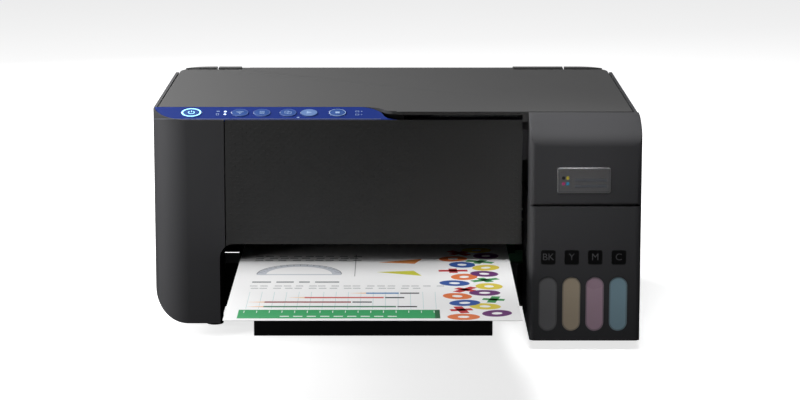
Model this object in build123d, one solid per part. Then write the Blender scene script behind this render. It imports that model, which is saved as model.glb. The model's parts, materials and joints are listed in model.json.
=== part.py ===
from build123d import *
import math
import os

# An ink tank printer with a flatbed scanner, in millimetres, +Z up. Shapes are drawn in a body frame:
# X = 0 is the middle of the body, Y = 0 the plane of the front panel, Z = 0 the surface it stands on.
# save() moves them so that the origin is the middle of the whole object's footprint at rest.

# Overall sizes
BODY_WIDTH = 375.0
BODY_DEPTH = 274.0
FEEDER_DEPTH = 29.0
LID_TOP_Z = 178.0
LID_REAR_INSET = 6.0
FRONT_CORNER_R = 28.0
REAR_CORNER_R = 25.0
SIDE_CORNER_R = 27.0
CASE_BOTTOM_Z = 11.0
WALL = 2.5

# Levels
CHEEK_TOP_Z = 171.2
SIDE_TOP_Z = 177.0
REAR_TOP_Z = 160.0
PANEL_BOTTOM_Z = 74.0
PAPER_Z = 59.7
SCAN_BOTTOM_Z = 140.0
BEZEL_Z = 163.0
GLASS_TOP_Z = 169.5

# Output bay and front panel
BAY_LEFT = -135.2
CHEEK_RIGHT = -131.0
PANEL_RIGHT = 98.8
BAY_CORNER_R = 11.0
BAY_DEPTH = 62.0
PART_GAP = 0.8
PANEL_THICK = 2.5

# Control strip
STRIP_DEPTH = 24.0
STRIP_THICK = 2.0
STRIP_LIP = 1.2
STRIP_FLAT_END = -28.0
STRIP_BEND = -8.0
STRIP_TIP = 2.0
STRIP_GAP = 0.6
POWER_R = 7.8
BUTTON_R = 6.7
BUTTON_CLEAR = 0.3
BUTTON_TRAVEL = 1.0
BUTTONS = {
    "power_button": -156.8,
    "wireless_button": -119.2,
    "status_button": -102.1,
    "mono_copy_button": -82.0,
    "start_button": -65.7,
    "stop_button": -43.7,
}

# Ink tank unit
TANK_LEFT = 103.4
TANK_FRONT = -44.0
TANK_BACK = 70.0
TANK_BOTTOM_Z = 7.5
TANK_WALL = 2.2
TANK_TOP_Z = 111.3
COVER_BOTTOM_Z = 112.1
COVER_BACK = -4.6
COVER_CURVE_Z = 157.0
COVER_TOP_BACK = -8.0
COVER_WALL = 2.0
COVER_HINGE_R = 2.6
COVER_EAR_R = 1.5
COVER_PIN_R = 0.9
COVER_ARM = 4.2
TANK_COUNT = 4
TANK_PITCH = 17.85
TANK_FIRST = 117.1
TANK_INK_WIDTH = 16.6
TANK_INK_TOP = 104.0
WINDOW_WIDTH = 14.1
WINDOW_LOW = 15.0
WINDOW_HIGH = 57.2
CAP_WIDTH = 14.0
CAP_LENGTH = 25.0
CAP_HINGE_Y = -11.5
CAP_HINGE_Z = 113.5
TANK_NAMES = ["black", "yellow", "magenta", "cyan"]

# Lid and scanner
LID_HALF = 183.5
LID_FRONT_Y = -1.5
LID_SKIRT = 2.5
RECESS_DEPTH = 14.0
RECESS_ROOF_Z = 175.5
HUMP_HEIGHT = 1.0
HUMP_DEPTH = 12.0
LID_HINGE_INSET = 12.0
LID_HINGE_Z = 169.8
LID_PIN_R = 2.0
SCANNER_HINGE_Z = 165.0
SCANNER_PIN_R = 2.6
SCANNER_BACK_INSET = 19.5
GLASS_WIDTH = 306.0
GLASS_FRONT = 32.0
GLASS_BACK = 248.0
GLASS_CENTRE_X = 4.0

# Output tray and sheet
TRAY_FRONT = -94.5
TRAY_LENGTH = 170.0
TRAY_LEFT = -112.0
TRAY_RIGHT = 83.0
TRAY_TOP_Z = 55.8
EXT_FRONT = -207.0
EXT_LENGTH = 132.0
EXT_LEFT = -98.0
EXT_RIGHT = 69.0
EXT_BAR = 5.0
EXT_BAR_LOW = 49.0
EXT_BAR_HIGH = 59.3
SHEET_LEFT = -120.0
SHEET_WIDTH = 210.0
SHEET_LENGTH = 297.0
SHEET_THICK = 0.2

# Print engine
ENGINE_LEFT = -128.0
ENGINE_RIGHT = 172.0
ENGINE_FRONT = 92.0
ENGINE_BACK = 192.0
ENGINE_TOP_Z = 132.0
ENGINE_PLATE = 1.6
ENGINE_BEAM_Z = 82.0
ENGINE_TIE_Z = 84.0
ENGINE_TIE_DEPTH = 6.0
ENGINE_FOOT = 12.0
NIP_Z = 70.0
EJECT_R = 5.0
EJECT_Y = 101.0
FEED_R = 5.0
FEED_Y = 160.0
STAR_R = 4.5
SHAFT_CLEAR = 0.05
RAIL_HALF = 4.0
RAIL_Y = 166.0
RAIL_Z = 112.0
CARRIAGE_RIGHT = 156.0
CARRIAGE_WIDTH = 62.0
BELT_Z = 120.0
BELT_PULLEY_R = 6.0
BELT_THICK = 1.0
BELT_HEIGHT = 6.0
BELT_LEFT = -112.0
BELT_RIGHT = 162.0
BELT_Y = 181.0

# Scan carriage
SCAN_REST_X = -140.0
SCAN_BAR_WIDTH = 16.0
SCAN_BELT_Y = 30.0
SCAN_PULLEY_R = 4.0

# Rear feeder
FEEDER_HALF = 130.0
FEEDER_SETBACK = 3.0
FEEDER_TOP_Z = 172.0
SUPPORT_HALF = 112.0
SUPPORT_BACK_GAP = 0.5
SUPPORT_THICK = 2.4
SUPPORT_LOW = 52.0
GUARD_THICK = 2.2

# Casing, feeder and inlet details
REAR_WALL_HALF = 133.7
SIDE_STEP_INSET = 29.0
CASE_SPLIT_X = -158.0
FIT = 0.3
SCREW_R = 1.5
SCREW_XS = (-146.0, 146.0)
SCREW_ZS = (40.0, 140.0)
FRONT_GAP_Y = 0.4
SCANNER_EAR_XS = (-108.7, -91.3, 91.3, 108.7)
SCANNER_EAR_WIDTH = 6.6
SCANNER_EAR_R = 5.0
SCANNER_LUG_XS = (-100.0, 100.0)
SCANNER_LUG_WIDTH = 10.0
FEEDER_WALL = 2.2
FEEDER_LOW = 25.0
FEEDER_SLOT_HALF = 118.0
PICKUP_INSET = 16.0
PICKUP_Z = 84.0
PICKUP_EAR_XS = (-53.0, 53.0)
MAINS_X = -100.0
MAINS_WIDTH = 22.0
MAINS_LOW = 16.0
MAINS_HIGH = 24.0
USB_X = 100.0
USB_WIDTH = 12.4
USB_LOW = 15.0
USB_HIGH = 24.0
PICKUP_SHAFT_R = 3.0
PICKUP_R = 11.0
RAIL_THICK = 4.0
RAIL_LEDGE = 12.0
RAIL_TOP_Z = 57.7
RAIL_BACK = 182.0
TRAY_SIDE_GAP = 0.5
TRAY_LOW_Z = 50.2
ENGINE_LOW = 58.0
FOOT_R = 7.0
FOOT_FRONT_Y = 50.0
FOOT_REAR_INSET = 29.0
TANK_FOOT = (150.0, 12.0)

# Ink tank unit details
EAR_THICK = 2.0
EAR_GAP = 0.3
INK_FRONT_GAP = 0.5
INK_WALL = 1.4
WINDOW_RECESS = 0.7
CAP_PLUG_R = 4.0
CAP_PIN_R = 1.2
CAP_PLUG_DEPTH = 1.2
NECK_R = 6.0
NECK_Y = -26.0
TANK_EDGE_R = 4.0
BADGE_LEFT = 123.5
BADGE_RIGHT = 163.8
BADGE_LOW = 121.7
BADGE_HIGH = 141.3
BADGE_THICK = 0.6

# Scanner unit and lid details
SWING_ROOM = 1.2
SWING_DEPTH = 30.0
UNIT_GAP = 0.7
BASE_WALL = 2.2
PANEL_FIT = 0.2
LUG_WALL = 2.0
GLASS_THICK = 3.0
GLASS_LEDGE = 6.0
LID_TOP_THICK = 2.7
LID_SKIRT_Z = 170.0
LID_KNUCKLE_R = 3.0
LID_KNUCKLE_WIDTH = 9.0
LID_EAR_WIDTH = 3.0
LID_EAR_R = 2.6
LID_HINGE_XS = (-160.0, 152.0)
HUMPS = [(-187.0, -132.0, -152.4), (103.0, 187.0, 146.8)]
HUMP_SLIT = 1.3
HUMP_SLIT_DEPTH = 3.5
SCAN_RAIL_Y = 140.0
SCAN_RAIL_HALF = 2.0
SCAN_RAIL_HEIGHT = 4.0
SCAN_BELT_LOW = 154.5
SCAN_BELT_HEIGHT = 4.0
SCAN_BELT_THICK = 0.9
SCAN_SIDE = 16.0
PIN_R = 1.0
BUTTON_PROUD = 0.5
BELT_CLEAR = 0.15

# Output tray and sheet details
TRAY_RIB_TOP = 59.3
TRAY_RIBS = (-90.0, -50.0, -14.5, 21.0, 61.0)
TRAY_RIB = 1.6
TRAY_SKIN = 2.0
EXT_THICK = 2.4

# Print engine details
STAR_SHAFT_R = 1.2
MOTOR_Y = 182.0
MOTOR_Z = 72.0
FEED_PULLEY_R = 11.0
PINION_R = 4.0
FEED_BELT_WIDTH = 6.0
CARRIAGE_FRONT = 112.0
CARRIAGE_BACK = 174.0
CARRIAGE_LOW = 84.0
CARRIAGE_TOP = 130.0
HEAD_LOW = 72.0
RAIL_CLEAR = 0.3
SHAFT_R = 3.0
HEAD_TOP = 90.0

# Rear feeder details
HOPPER_TOP = 150.0
HOPPER_LOW = 58.0
HOPPER_SETBACK = 12.5
HOPPER_THICK = 2.0
GUIDE_X = 105.0
GUIDE_THICK = 2.0
GUARD_LIFT = 0.6
GUIDE_LOW = 96.0
GUIDE_HIGH = 166.0

BODY_HALF = BODY_WIDTH / 2
FEEDER_REAR = BODY_DEPTH + FEEDER_DEPTH
FEEDER_FRONT = BODY_DEPTH + FEEDER_SETBACK
FOOT_REAR_Y = BODY_DEPTH - FOOT_REAR_INSET
FEET = [(-143.0, FOOT_FRONT_Y), (-140.0, FOOT_REAR_Y), (150.0, FOOT_REAR_Y)]
LID_REAR_Y = BODY_DEPTH - LID_REAR_INSET
SIDE_STEP_Y = BODY_DEPTH - SIDE_STEP_INSET
LID_HINGE_Y = BODY_DEPTH - LID_HINGE_INSET
SCANNER_BACK = BODY_DEPTH - SCANNER_BACK_INSET
PICKUP_Y = BODY_DEPTH - PICKUP_INSET
HOPPER_Y = BODY_DEPTH + HOPPER_SETBACK
CENTRE_Y = (EXT_FRONT + FEEDER_REAR) / 2
STRIP_ANGLE = math.degrees(math.atan2(LID_TOP_Z - CHEEK_TOP_Z, STRIP_DEPTH))
TANK_XS = [TANK_FIRST + i * TANK_PITCH for i in range(TANK_COUNT)]
TANK_RIGHT = BODY_HALF
COVER_HINGE_Y = TANK_FRONT + COVER_HINGE_R
COVER_HINGE_Z = COVER_BOTTOM_Z + COVER_HINGE_R
STAR_XS = [-84.0 + 33.0 * i for i in range(6)]
STAR_Y = EJECT_Y
STAR_Z = NIP_Z + SHEET_THICK + STAR_R
FEED_BELT_X = ENGINE_LEFT - 7.0


def save(node, shape):
    """Write one node with the object's origin at the middle of its footprint."""
    shape = Pos(0, -CENTRE_Y, 0) * shape
    export_step(shape, f"parts/{node}.step")


def block(x0, x1, y0, y1, z0, z1):
    """A box given by its lowest and highest coordinates."""
    middle = Pos((x0 + x1) / 2, (y0 + y1) / 2, (z0 + z1) / 2)
    return middle * Box(x1 - x0, y1 - y0, z1 - z0)


def rod(x0, x1, y, z, r):
    """A round bar along X."""
    return Pos((x0 + x1) / 2, y, z) * Rot(0, 90, 0) * Cylinder(r, x1 - x0)


def post(x, y, z0, z1, r):
    """A round bar along Z."""
    return Pos(x, y, (z0 + z1) / 2) * Cylinder(r, z1 - z0)


def spindle(x, z, y0, y1, r):
    """A round bar along Y."""
    return Pos(x, (y0 + y1) / 2, z) * Rot(90, 0, 0) * Cylinder(r, y1 - y0)


def plan(points, radii, z0, z1):
    """A prism over a closed outline with a radius at each corner."""
    outline = make_face(FilletPolyline(*points, radius=radii, close=True))
    return Pos(0, 0, z0) * extrude(outline, z1 - z0)


def profile(points, x0, x1):
    """A prism along X over a closed (Y, Z) outline."""
    outline = make_face(Polyline(*points, close=True))
    return extrude(Plane.YZ.offset(x0) * outline, x1 - x0)


def body_plan(inset, z0, z1):
    """The body's plan outline, moved in by inset, as a prism."""
    x, front, back = BODY_HALF - inset, inset, BODY_DEPTH - inset
    points = [(-x, front), (x, front), (x, back), (-x, back)]
    front_r = FRONT_CORNER_R - inset
    rear_r = REAR_CORNER_R - inset
    return plan(points, [front_r, 2.0, rear_r, rear_r], z0, z1)


def body_section(inset):
    """The body's front view outline with its round lower left edge, as a prism along Y."""
    x, low, high = BODY_HALF - inset, CASE_BOTTOM_Z + inset, LID_TOP_Z + 20
    r = SIDE_CORNER_R - inset
    outline = make_face(
        FilletPolyline((-x, low), (x, low), (x, high), (-x, high), radius=[r, 3.0, 3.0, 3.0], close=True)
    )
    return extrude(Plane.XZ * outline, -(BODY_DEPTH + 1))


def body_solid(inset):
    """The body's outer form, moved in by inset."""
    return body_plan(inset, 0, SIDE_TOP_Z) & body_section(inset)


def bay_cutter(y0, y1, grow=0.0):
    """The output bay: open to the right and below, with a round upper left corner."""
    left, right, low, high = BAY_LEFT - grow, PANEL_RIGHT + 30, -20.0, PANEL_BOTTOM_Z + grow
    points = [(left, low), (right, low), (right, high), (left, high)]
    outline = make_face(
        FilletPolyline(*points, radius=[1.0, 1.0, 1.0, BAY_CORNER_R + grow], close=True)
    )
    return extrude(Plane.XZ.offset(-y0) * outline, -(y1 - y0))


def strip_plan(grow, z0, z1):
    """The control strip's plan: it follows the corner and ends in a pointed S curve."""
    near, far = STRIP_LIP, STRIP_DEPTH
    middle_y = near + (far - near) * (STRIP_TIP - STRIP_BEND) / (STRIP_TIP - STRIP_FLAT_END)
    left = -BODY_HALF + STRIP_LIP
    r = FRONT_CORNER_R - STRIP_LIP
    corner_x = left + r - math.sqrt(r**2 - (r - (far - near)) ** 2)
    start = (corner_x, far)
    flat = (left + r, near)
    via_y = (far + near) / 2
    via_x = left + r - math.sqrt(r**2 - (near + r - via_y) ** 2)
    edges = [
        Line(start, (STRIP_FLAT_END, far)),
        TangentArc((STRIP_FLAT_END, far), (STRIP_BEND, middle_y), tangent=(1, 0)),
        TangentArc((STRIP_TIP, near), (STRIP_BEND, middle_y), tangent=(-1, 0)),
        Line((STRIP_TIP, near), flat),
        ThreePointArc(flat, (via_x, via_y), start),
    ]
    outline = make_face(Wire(edges))
    if grow:
        outline = offset(outline, grow)
    return Pos(0, 0, z0) * extrude(outline, z1 - z0)


def slope_slab(low, high):
    """The space between two planes parallel to the control strip's slope."""
    run = STRIP_DEPTH + 40
    rise = run * math.tan(math.radians(STRIP_ANGLE))
    points = [(0, CHEEK_TOP_Z + low), (run, CHEEK_TOP_Z + rise + low)]
    points += [(run, CHEEK_TOP_Z + rise + high), (0, CHEEK_TOP_Z + high)]
    return profile(points, -BODY_HALF - 5, BODY_HALF)


def slope_trim():
    """Everything above the sloping front left edge of the body."""
    run, rise = STRIP_DEPTH, LID_TOP_Z - CHEEK_TOP_Z
    points = [(-10, CHEEK_TOP_Z - 10 * rise / run), (run, LID_TOP_Z), (run, 300), (-10, 300)]
    return profile(points, -BODY_HALF - 5, BODY_HALF)


# Casing


def screw_places():
    """Where the rear screws go, as (x, z)."""
    return [(x, z) for x in SCREW_XS for z in SCREW_ZS]


def strip_room():
    """The recess that the control strip sits in, with its clearance."""
    return strip_plan(FIT, 100, 260) & slope_slab(-STRIP_THICK - FIT, 60)


def body_shell():
    """The casing wall all round the body."""
    hollow = body_plan(WALL, 0, LID_TOP_Z + 20) & body_section(WALL)
    return body_solid(0) - hollow


def rear_step():
    """The room that the scanner's and the lid's rear corners swing through."""
    return block(-BODY_HALF, BODY_HALF, SIDE_STEP_Y, BODY_DEPTH + 1, REAR_TOP_Z, 300)


def left_housing():
    shell = body_shell()
    edge = -BODY_HALF - 1
    front = shell & block(edge, CHEEK_RIGHT, -1, BAY_DEPTH, 0, 300)
    side = shell & block(edge, CASE_SPLIT_X, BAY_DEPTH, BODY_DEPTH + 1, 0, 300)
    corner_low = CASE_BOTTOM_Z + WALL + FIT
    corner_box = block(CASE_SPLIT_X, -REAR_WALL_HALF - FIT, SIDE_STEP_Y, BODY_DEPTH + 1, corner_low, 300)
    corner = shell & corner_box
    bay_wall = bay_cutter(0, BAY_DEPTH, WALL) & block(edge, CHEEK_RIGHT, 0, BAY_DEPTH, CASE_BOTTOM_Z, 150)
    housing = front + side + corner + bay_wall
    housing -= bay_cutter(-1, BAY_DEPTH + 1)
    housing -= slope_trim()
    housing -= strip_room()
    housing -= rear_step()
    for x, z in screw_places():
        housing -= spindle(x, z, BODY_DEPTH - 10, BODY_DEPTH + 1, SCREW_R + SHAFT_CLEAR)
    return housing


def right_housing():
    shell = body_shell()
    side = shell & block(BODY_HALF - WALL - 1, BODY_HALF + 1, FRONT_GAP_Y, BODY_DEPTH + 1, 0, 300)
    corner_low = CASE_BOTTOM_Z + WALL + FIT
    corner_box = block(REAR_WALL_HALF + FIT, BODY_HALF, SIDE_STEP_Y, BODY_DEPTH + 1, corner_low, 300)
    housing = side + (shell & corner_box) - rear_step()
    for x, z in screw_places():
        housing -= spindle(x, z, BODY_DEPTH - 10, BODY_DEPTH + 1, SCREW_R + SHAFT_CLEAR)
    return housing


def scanner_ear(x):
    """One ear that holds the scanner unit's hinge pin."""
    x0, x1 = x - SCANNER_EAR_WIDTH / 2, x + SCANNER_EAR_WIDTH / 2
    boss = rod(x0, x1, LID_HINGE_Y, SCANNER_HINGE_Z, SCANNER_EAR_R)
    web = block(x0, x1, LID_HINGE_Y - SCANNER_EAR_R, BODY_DEPTH, REAR_TOP_Z - 20, REAR_TOP_Z)
    web -= block(x0, x1, LID_HINGE_Y - SCANNER_EAR_R, BODY_DEPTH - WALL, REAR_TOP_Z - 20, REAR_TOP_Z - 10)
    neck = block(
        x0, x1, LID_HINGE_Y - SCANNER_EAR_R, LID_HINGE_Y + SCANNER_EAR_R, REAR_TOP_Z - 1, SCANNER_HINGE_Z
    )
    return boss + web + neck


def pickup_ear(x):
    """One ear that carries the pickup roller's shaft."""
    x0, x1 = x - 1.5, x + 1.5
    boss = rod(x0, x1, PICKUP_Y, PICKUP_Z, 6)
    web = block(x0, x1, PICKUP_Y, BODY_DEPTH - WALL, PICKUP_Z - 5, PICKUP_Z + 5)
    return boss + web - rod(x0 - 1, x1 + 1, PICKUP_Y, PICKUP_Z, PICKUP_SHAFT_R + SHAFT_CLEAR)


def rear_housing():
    inner_y = BODY_DEPTH - WALL
    low = CASE_BOTTOM_Z + WALL + FIT
    wall = block(-REAR_WALL_HALF, REAR_WALL_HALF, inner_y, BODY_DEPTH, low, REAR_TOP_Z)
    box = block(-FEEDER_HALF, FEEDER_HALF, inner_y, FEEDER_REAR, FEEDER_LOW, FEEDER_TOP_Z)
    half = FEEDER_HALF - FEEDER_WALL
    rear_y = FEEDER_REAR - FEEDER_WALL
    box -= block(-half, half, inner_y - 1, rear_y, FEEDER_LOW + FEEDER_WALL, FEEDER_TOP_Z + 1)
    box -= block(-BODY_HALF, BODY_HALF, inner_y - 1, FEEDER_FRONT, REAR_TOP_Z, FEEDER_TOP_Z + 1)
    slot = FEEDER_SLOT_HALF
    wall -= block(-slot, slot, inner_y - 1, BODY_DEPTH + 1, FEEDER_LOW + FEEDER_WALL, 150)
    ledge = block(-half - 1, half + 1, inner_y, FEEDER_FRONT + FEEDER_WALL, REAR_TOP_Z - WALL, REAR_TOP_Z)
    lip = block(
        -half - 1, half + 1, FEEDER_FRONT, FEEDER_FRONT + FEEDER_WALL, REAR_TOP_Z - WALL, FEEDER_TOP_Z
    )
    housing = wall + box + ledge + lip
    for x in SCANNER_EAR_XS:
        housing += scanner_ear(x)
    reach = SCANNER_LUG_WIDTH / 2 + EAR_GAP + SCANNER_EAR_WIDTH
    for x in SCANNER_LUG_XS:
        housing += rod(x - reach, x + reach, LID_HINGE_Y, SCANNER_HINGE_Z, SCANNER_PIN_R)
    for x in PICKUP_EAR_XS:
        housing += block(x - 4, x + 4, inner_y, BODY_DEPTH, PICKUP_Z - 8, 151) + pickup_ear(x)
    y0, y1 = inner_y - 1, BODY_DEPTH + 1
    x0, x1 = MAINS_X - MAINS_WIDTH / 2, MAINS_X + MAINS_WIDTH / 2
    housing -= block(x0, x1, y0, y1, MAINS_LOW, MAINS_HIGH)
    x0, x1 = USB_X - USB_WIDTH / 2, USB_X + USB_WIDTH / 2
    housing -= block(x0, x1, y0, y1, USB_LOW, USB_HIGH)
    return housing


def tray_rail(edge_x, side):
    """One rail that holds a long edge of the output tray; side is -1 on the left, 1 on the right."""
    inner = edge_x + side * TRAY_SIDE_GAP
    outer = inner + side * RAIL_THICK
    foot = inner - side * RAIL_LEDGE
    xs = sorted((inner, outer))
    wall = block(xs[0], xs[1], BAY_DEPTH + WALL, RAIL_BACK, CASE_BOTTOM_Z + WALL, RAIL_TOP_Z)
    xs = sorted((foot, outer))
    ledge = block(xs[0], xs[1], BAY_DEPTH + WALL, RAIL_BACK, TRAY_LOW_Z - FIT - 2.4, TRAY_LOW_Z - FIT)
    return wall + ledge


def base_case():
    low, high = CASE_BOTTOM_Z, CASE_BOTTOM_Z + WALL
    floor = body_plan(WALL + FIT, low, high)
    floor -= block(-BODY_HALF, CASE_SPLIT_X + FIT, 0, BODY_DEPTH, low - 1, high + 1)
    floor -= block(-BODY_HALF, BODY_HALF, 0, BAY_DEPTH + FIT, low - 1, high + 1)
    floor -= block(TANK_LEFT - FIT, BODY_HALF, 0, TANK_BACK + FIT, low - 1, high + 1)
    floor -= block(BODY_HALF - WALL - 1.4, BODY_HALF, 0, BODY_DEPTH, low - 1, high + 1)
    front_y = BAY_DEPTH + FIT
    front = block(BAY_LEFT + FIT, PANEL_RIGHT, front_y, front_y + WALL, low, TRAY_LOW_Z - 4)
    case = floor + front
    case += tray_rail(TRAY_LEFT, -1)
    case += tray_rail(TRAY_RIGHT, 1)
    for x in (ENGINE_LEFT + 6, ENGINE_RIGHT - 6):
        for y in (ENGINE_FRONT + 8, ENGINE_BACK - 8):
            case += post(x, y, high - 0.5, ENGINE_LOW, 4)
    return case


def rubber_feet():
    feet = [post(x, y, 0, CASE_BOTTOM_Z, FOOT_R) for x, y in FEET]
    feet.append(post(*TANK_FOOT, 0, TANK_BOTTOM_Z, FOOT_R))
    return Compound([fillet(foot.edges().sort_by(Axis.Z)[0], 1.0).solid() for foot in feet])


def housing_screws():
    screws = []
    for x, z in screw_places():
        shank = spindle(x, z, BODY_DEPTH - 8, BODY_DEPTH, SCREW_R)
        head = spindle(x, z, BODY_DEPTH, BODY_DEPTH + 1.8, SCREW_R * 2)
        cross = block(x - 1.6, x + 1.6, BODY_DEPTH + 1, BODY_DEPTH + 3, z - 0.35, z + 0.35)
        cross += block(x - 0.35, x + 0.35, BODY_DEPTH + 1, BODY_DEPTH + 3, z - 1.6, z + 1.6)
        screws.append((shank + head - cross).solid())
    return Compound(screws)


# Ink tank unit


def window(x, grow, y0, y1):
    """A capsule shaped prism over one ink window."""
    width = WINDOW_WIDTH + 2 * grow
    height = WINDOW_HIGH - WINDOW_LOW + 2 * grow
    middle = (WINDOW_LOW + WINDOW_HIGH) / 2
    shape = Pos(x, middle) * Rot(0, 0, 90) * SlotOverall(height, width)
    return extrude(Plane.XZ.offset(-y0) * shape, -(y1 - y0))


def tank_prism(inset, y1, z0, z1):
    """The tank unit's plan with rounded front edges."""
    x0, x1, y0 = TANK_LEFT + inset, TANK_RIGHT - inset, TANK_FRONT + inset
    r = max(TANK_EDGE_R - inset, 0.6)
    points = [(x0, y0), (x1, y0), (x1, y1), (x0, y1)]
    return plan(points, [r, r, 0.2, 0.2], z0, z1)


def tank_housing():
    floor_top = TANK_BOTTOM_Z + TANK_WALL
    back = -FRONT_GAP_Y
    shell = tank_prism(0, back, TANK_BOTTOM_Z, TANK_TOP_Z)
    shell -= tank_prism(TANK_WALL, back + 5, floor_top, TANK_TOP_Z + 1)
    inner_left = TANK_LEFT + TANK_WALL
    left_wall = block(TANK_LEFT, inner_left, back - 1, TANK_BACK, TANK_BOTTOM_Z, TANK_TOP_Z)
    floor = block(TANK_LEFT, BODY_HALF - WALL - FIT, back - 1, TANK_BACK, TANK_BOTTOM_Z, floor_top)
    shelf_low = TANK_INK_TOP + FIT
    shelf = tank_prism(TANK_WALL - 0.5, back, shelf_low, shelf_low + 2)
    housing = shell + left_wall + floor + shelf
    for x in TANK_XS:
        housing -= window(x, 0, TANK_FRONT - 1, TANK_FRONT + TANK_WALL + 0.1)
        housing -= post(x, NECK_Y, shelf_low - 1, shelf_low + 4, NECK_R + FIT)
        housing += cap_ears(x, shelf_low + 1)
    for x in cover_ear_places():
        housing += cover_ear(x)
    return housing


def cap_ears(x, low):
    """The pair of ears behind one filler neck that the cap swings on."""
    ears = None
    half = CAP_WIDTH / 2 - 3
    for side in (-1, 1):
        inner = x + side * (half + EAR_GAP)
        xs = sorted((inner, inner + side * 1.6))
        ear = rod(xs[0], xs[1], CAP_HINGE_Y, CAP_HINGE_Z, 2.4)
        ear += block(xs[0], xs[1], CAP_HINGE_Y - 2.4, CAP_HINGE_Y + 2.4, low, CAP_HINGE_Z)
        ears = ear if ears is None else ears + ear
    pin = rod(x - half - EAR_GAP - 0.5, x + half + EAR_GAP + 0.5, CAP_HINGE_Y, CAP_HINGE_Z, CAP_PIN_R)
    return ears + pin


def cover_ear_places():
    """The lowest X of each ear that the tank cover hangs on."""
    left = TANK_LEFT + COVER_WALL + EAR_GAP
    right = TANK_RIGHT - COVER_WALL - EAR_GAP - EAR_THICK
    return [left, right]


def cover_ear(x):
    """One ear with its outward pin for the tank cover, on an arm that the cover's lip swings past."""
    r = COVER_EAR_R
    arm_top = COVER_HINGE_Z + r
    leg_y = COVER_HINGE_Y + COVER_ARM
    ear = rod(x, x + EAR_THICK, COVER_HINGE_Y, COVER_HINGE_Z, r)
    ear += block(x, x + EAR_THICK, COVER_HINGE_Y, leg_y + EAR_THICK, COVER_HINGE_Z - r / 3, arm_top)
    ear += block(x, x + EAR_THICK, leg_y, leg_y + EAR_THICK, TANK_INK_TOP + FIT + 1, arm_top)
    if x < (TANK_LEFT + TANK_RIGHT) / 2:
        pin = rod(x - EAR_GAP - 1.2, x + 1, COVER_HINGE_Y, COVER_HINGE_Z, COVER_PIN_R)
    else:
        pin = rod(x + 1, x + EAR_THICK + EAR_GAP + 1.2, COVER_HINGE_Y, COVER_HINGE_Z, COVER_PIN_R)
    return ear + pin


def cover_profile(inset, x0, x1):
    """The cover's side outline: upright front, round top, flat back, and a round hinge edge."""
    low, high = COVER_BOTTOM_Z, LID_TOP_Z - inset
    front, back = TANK_FRONT + inset, COVER_BACK + (5 if inset else 0)
    hinge_r = COVER_HINGE_R - inset
    rear = (COVER_TOP_BACK, high)
    centre_z = COVER_CURVE_Z
    depth, rise = COVER_TOP_BACK - front, high - centre_z
    curve = EllipticalCenterArc((COVER_TOP_BACK, centre_z), depth, rise, start_angle=90, arc_size=90)
    if hinge_r > 0:
        s = hinge_r / math.sqrt(2)
        hinge = ThreePointArc(
            (front, COVER_HINGE_Z),
            (COVER_HINGE_Y - s, COVER_HINGE_Z - s),
            (COVER_HINGE_Y, low + inset),
        )
        foot = [hinge, Line((COVER_HINGE_Y, low + inset), (back, low + inset))]
        if inset:
            foot = [Line((front, COVER_HINGE_Z), (front, low - 1)), Line((front, low - 1), (back, low - 1))]
    edges = [Line(rear, (back, high)), curve, Line((front, centre_z), (front, COVER_HINGE_Z))]
    edges += foot
    edges.append(Line((back, low if not inset else low - 1), (back, high)))
    outline = make_face(Wire(edges))
    return extrude(Plane.YZ.offset(x0) * outline, x1 - x0)


def tank_cover():
    cover = cover_profile(0, TANK_LEFT, TANK_RIGHT)
    cover &= tank_prism(0, COVER_BACK + 1, COVER_BOTTOM_Z - 1, LID_TOP_Z + 1)
    cover -= cover_profile(COVER_WALL, TANK_LEFT + COVER_WALL, TANK_RIGHT - COVER_WALL)
    for x in cover_ear_places():
        reach = COVER_EAR_R + 0.4
        x0, x1 = x - EAR_GAP, x + EAR_THICK + EAR_GAP
        pocket = rod(x0, x1, COVER_HINGE_Y, COVER_HINGE_Z, reach)
        pocket += block(
            x0, x1, COVER_HINGE_Y - reach, COVER_BACK, COVER_BOTTOM_Z - 1, COVER_HINGE_Z
        )
        cover -= pocket
        bore_r = COVER_PIN_R + SHAFT_CLEAR
        bore = rod(x - 4, x + EAR_THICK + 4, COVER_HINGE_Y, COVER_HINGE_Z, bore_r)
        cover -= bore & block(
            TANK_LEFT + 0.5, TANK_RIGHT - 0.5, TANK_FRONT, 0, COVER_BOTTOM_Z, COVER_CURVE_Z
        )
    return cover


def tank_badge():
    points = [(BADGE_LEFT, BADGE_LOW), (BADGE_RIGHT, BADGE_LOW)]
    points += [(BADGE_RIGHT, BADGE_HIGH), (BADGE_LEFT, BADGE_HIGH)]
    outline = make_face(FilletPolyline(*points, radius=1.8, close=True))
    return extrude(Plane.XZ.offset(-TANK_FRONT) * outline, BADGE_THICK)


def ink_tank(x):
    """One translucent tank with its window bulge and filler neck."""
    half = TANK_INK_WIDTH / 2
    front = TANK_FRONT + TANK_WALL + INK_FRONT_GAP
    low = TANK_BOTTOM_Z + TANK_WALL + FIT
    back = TANK_BACK - 1
    shelf_top = TANK_INK_TOP + FIT + 2
    tank = block(x - half, x + half, front, back, low, TANK_INK_TOP)
    tank += window(x, -0.15, TANK_FRONT + WINDOW_RECESS, front + 0.1)
    room = half - INK_WALL
    y0, y1 = front + INK_WALL, back - INK_WALL
    tank -= block(x - room, x + room, y0, y1, low + INK_WALL, TANK_INK_TOP - INK_WALL)
    tank += post(x, NECK_Y, TANK_INK_TOP - 0.1, shelf_top + 3.5, NECK_R)
    tank -= post(x, NECK_Y, TANK_INK_TOP - INK_WALL - 1, shelf_top + 5, CAP_PLUG_R)
    return tank


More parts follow.
